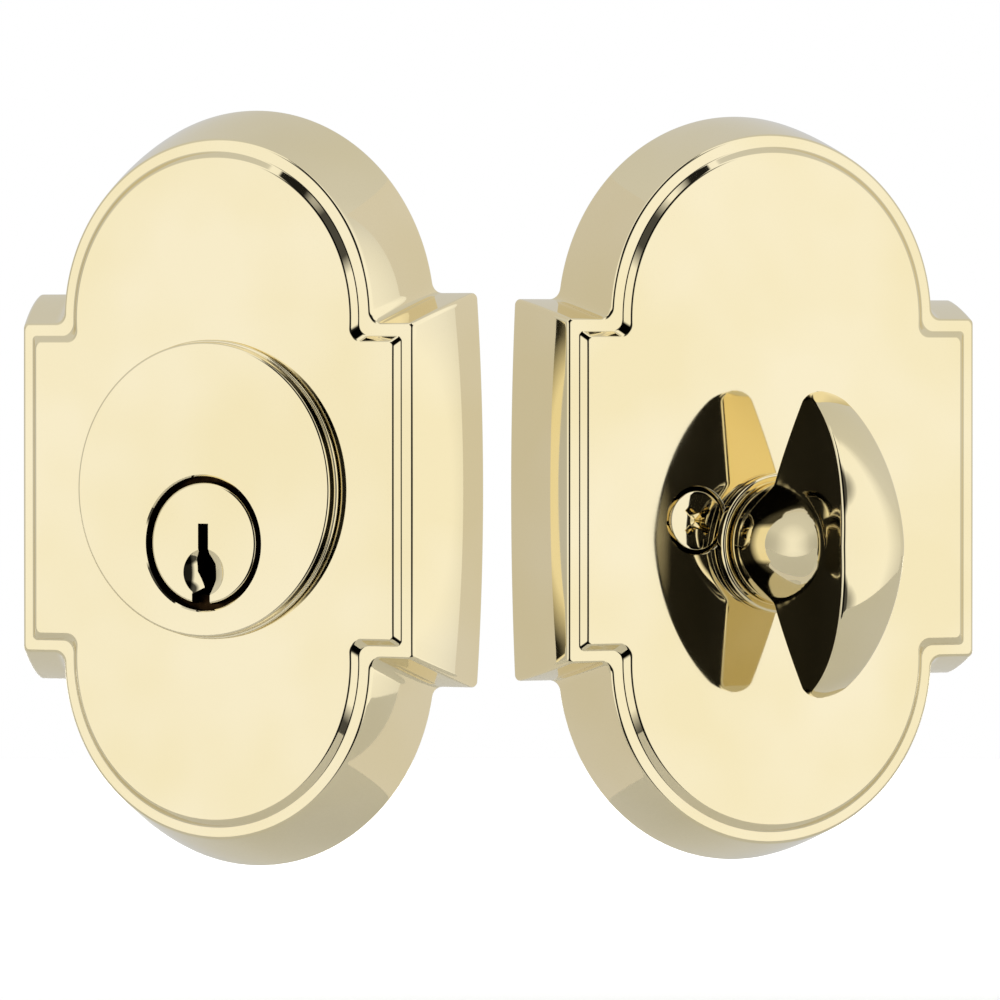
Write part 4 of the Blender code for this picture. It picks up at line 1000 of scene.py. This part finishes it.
def make_floor(side, front, height, finish):
    """A sheet of white paper under and behind the lock, lit from above. Its fibres are drawn 0.6 mm
    across, many times their real size, so that they show."""
    half, near, far = 0.9, 0.1, -1.6
    corners = [side * x + front * y + Vector((0, 0, height))
               for x, y in ((-half, near), (half, near), (half, far), (-half, far))]
    floor = piece_from("floor", np.array(corners), [(0, 3, 2, 1)])
    material, tree, shader = start_material("White paper", {"Roughness": 0.9, "Specular IOR Level": 0.1})
    where = add(tree, "ShaderNodeTexCoord").outputs["Object"]
    fibre = noise(tree, where, 0.6 * MM, 4.0)
    tree.links.new(two_tone(tree, fibre, finish.paper, finish.paper_fibre), shader.inputs["Base Color"])
    floor.data.materials.append(material)


def make_cards(side, front, middle):
    """Two upright cards back to back between the units, lit evenly. Each shades the flank that it faces
    from the other unit's flank. The camera doesn't see them."""
    near, far, half = 20.5 * MM, -12 * MM, 58 * MM
    for name, shift, turn, glow in (("card left", -0.4 * MM, 1, 0.7), ("card right", 0.4 * MM, -1, 0.64)):
        at = side * (middle + shift)
        corners = [at + front * x + Vector((0, 0, z))
                   for x, z in ((near, -half), (far, -half), (far, half), (near, half))]
        card = piece_from(name, np.array(corners), [(0, 1, 2, 3)[::turn]])
        material, _, shader = start_material(f"Lit {name}", {"Emission Strength": glow, "Roughness": 1.0})
        shader.inputs["Base Color"].default_value = (0, 0, 0, 1)
        shader.inputs["Emission Color"].default_value = (1, 0.97, 0.93, 1)
        card.data.materials.append(material)
        card.visible_camera = False


def shades(tree, factor, stops):
    """A grey ramp through (position, brightness) stops."""
    ramp = add(tree, "ShaderNodeValToRGB", links={"Fac": factor})
    elements = ramp.color_ramp.elements
    while len(elements) < len(stops):
        elements.new(0.5)
    for element, (position, value) in zip(elements, stops):
        element.position = position
        element.color = (value, value, value, 1)
    return ramp.outputs["Color"]


def calc(tree, operation, *values):
    """A maths node on numbers and sockets."""
    node = add(tree, "ShaderNodeMath", {"operation": operation})
    for socket, value in zip(node.inputs, values):
        if isinstance(value, bpy.types.NodeSocket):
            tree.links.new(value, socket)
        else:
            socket.default_value = value
    return node.outputs["Value"]


def dot(tree, direction, axis):
    """How far a direction points along an axis: the cosine of the angle between them."""
    node = add(tree, "ShaderNodeVectorMath", {"operation": "DOT_PRODUCT"}, {"Vector": direction})
    node.inputs[1].default_value = axis
    return node.outputs["Value"]


def multiply(tree, first, second):
    """The product of two colours."""
    node = add(tree, "ShaderNodeMix", {"data_type": "RGBA", "blend_type": "MULTIPLY"})
    node.inputs[0].default_value = 1
    tree.links.new(first, node.inputs[6])
    tree.links.new(second, node.inputs[7])
    return node.outputs[2]


def make_world(scene, side, front):
    """A white tent open towards the camera. Its brightness is a ramp over the swing, the level angle from
    the opening: dark in it, bright beside it, greyer behind. Over and under the opening two dark gables,
    ellipses in swing and rise, come in, and the side away from the window is dimmer."""
    world = bpy.data.worlds.new("Light tent")
    scene.world = world
    world.use_nodes = True
    tree = world.node_tree
    tree.nodes.clear()
    direction = add(tree, "ShaderNodeTexCoord").outputs["Generated"]
    towards = dot(tree, direction, front)
    across = dot(tree, direction, side)
    squares = [calc(tree, "POWER", part, 2.0) for part in (towards, across)]
    level = calc(tree, "SQRT", calc(tree, "ADD", *squares))
    swing = calc(tree, "ARCCOSINE", calc(tree, "DIVIDE", towards, level))
    rise = calc(tree, "ABSOLUTE", calc(tree, "ARCSINE", dot(tree, direction, Vector((0, 0, 1)))))
    opening, walls = ((0.0, 0.012), (0.115, 0.015)), ((0.165, 1.02), (0.37, 1.04))
    behind = ((0.435, 0.72), (0.5, 0.68), (1.0, 0.64))
    tent = shades(tree, calc(tree, "DIVIDE", swing, np.pi), opening + walls + behind)
    gable_rise, gable_width, gable_height = np.radians((42, 52, 25))
    over = calc(tree, "SUBTRACT", rise, gable_rise)
    wide = calc(tree, "POWER", calc(tree, "DIVIDE", swing, gable_width), 2.0)
    tall = calc(tree, "POWER", calc(tree, "DIVIDE", over, gable_height), 2.0)
    inside = calc(tree, "MULTIPLY", calc(tree, "ADD", wide, tall), 0.5)
    gable = shades(tree, inside, ((0.3, 0.07), (0.52, 1.0), (1.0, 1.0)))
    window = shades(tree, spread(tree, across, 0, 1, -1, 1), ((0.0, 0.76), (0.04, 0.98), (1.0, 1.0)))
    tent = multiply(tree, tent, gable)
    lit = add(tree, "ShaderNodeBackground", links={"Color": multiply(tree, tent, window)})
    plain = add(tree, "ShaderNodeBackground", {"Color": (1, 1, 1, 1)})
    seen = add(tree, "ShaderNodeLightPath").outputs["Is Camera Ray"]
    choice = add(tree, "ShaderNodeMixShader", links={"Fac": seen})
    tree.links.new(lit.outputs["Background"], choice.inputs[1])
    tree.links.new(plain.outputs["Background"], choice.inputs[2])
    output = add(tree, "ShaderNodeOutputWorld")
    tree.links.new(choice.outputs["Shader"], output.inputs["Surface"])


def make_lights(side, front, power):
    """Two large soft boxes over the far paper, which lift it to white without showing in the brass."""
    for name, x, y in (("soft box left", -0.5, -1.15), ("soft box right", 0.5, -1.15)):
        light = bpy.data.lights.new(name, "AREA")
        light.energy = power
        light.size = 1.0
        light.spread = np.radians(100)
        lamp = bpy.data.objects.new(name, light)
        lamp.location = side * x + front * y + Vector((0, 0, 0.45))
        lamp.visible_glossy = False
        bpy.context.scene.collection.objects.link(lamp)


def make_camera(scene, side, front):
    """A long lens, level with the lock and a little over it."""
    light = scene.lock_light
    aim = side * light.aim_side + Vector((0, 0, light.aim_up))
    back = front * np.cos(light.tilt) + Vector((0, 0, np.sin(light.tilt)))
    data = bpy.data.cameras.new("camera")
    camera = bpy.data.objects.new("camera", data)
    data.lens = data.sensor_width * light.distance / light.field
    data.clip_start = 0.05
    camera.location = aim + back * light.distance
    camera.rotation_euler = (-back).to_track_quat("-Z", "Y").to_euler()
    scene.collection.objects.link(camera)
    scene.camera = camera


# ---------------------------------------------------------------- panel and registration

OPERATORS = (LOCK_OT_stage, LOCK_OT_escutcheons, LOCK_OT_cylinder, LOCK_OT_plug, LOCK_OT_pins,
             LOCK_OT_thumb_turn, LOCK_OT_through_bolts, LOCK_OT_bolt_unit, LOCK_OT_small_parts)
GROUPS = {"lock_plate": PlateSettings, "lock_cylinder": CylinderSettings, "lock_turn": TurnSettings,
          "lock_screws": ScrewSettings, "lock_finish": FinishSettings, "lock_light": LightSettings}


class LOCK_PT_panel(bpy.types.Panel):
    """Lists the lock's settings and the operators that build it"""
    bl_idname = "LOCK_PT_panel"
    bl_label = "Deadbolt"
    bl_space_type = "VIEW_3D"
    bl_region_type = "UI"
    bl_category = "Deadbolt"

    def draw(self, context):
        for operator in OPERATORS:
            self.layout.operator(operator.bl_idname)
        for name in GROUPS:
            group = getattr(context.scene, name)
            column = self.layout.box().column()
            for key in group.__annotations__:
                column.prop(group, key)


def register():
    for group in (*GROUPS.values(), *OPERATORS, LOCK_PT_panel):
        bpy.utils.register_class(group)
    for name, group in GROUPS.items():
        setattr(bpy.types.Scene, name, PointerProperty(type=group))


def unregister():
    for name in GROUPS:
        delattr(bpy.types.Scene, name)
    for group in (LOCK_PT_panel, *reversed(OPERATORS), *GROUPS.values()):
        bpy.utils.unregister_class(group)


def main():
    register()
    for operator in OPERATORS:
        family, name = operator.bl_idname.split(".")
        getattr(getattr(bpy.ops, family), name)()


if __name__ == "__main__":
    main()
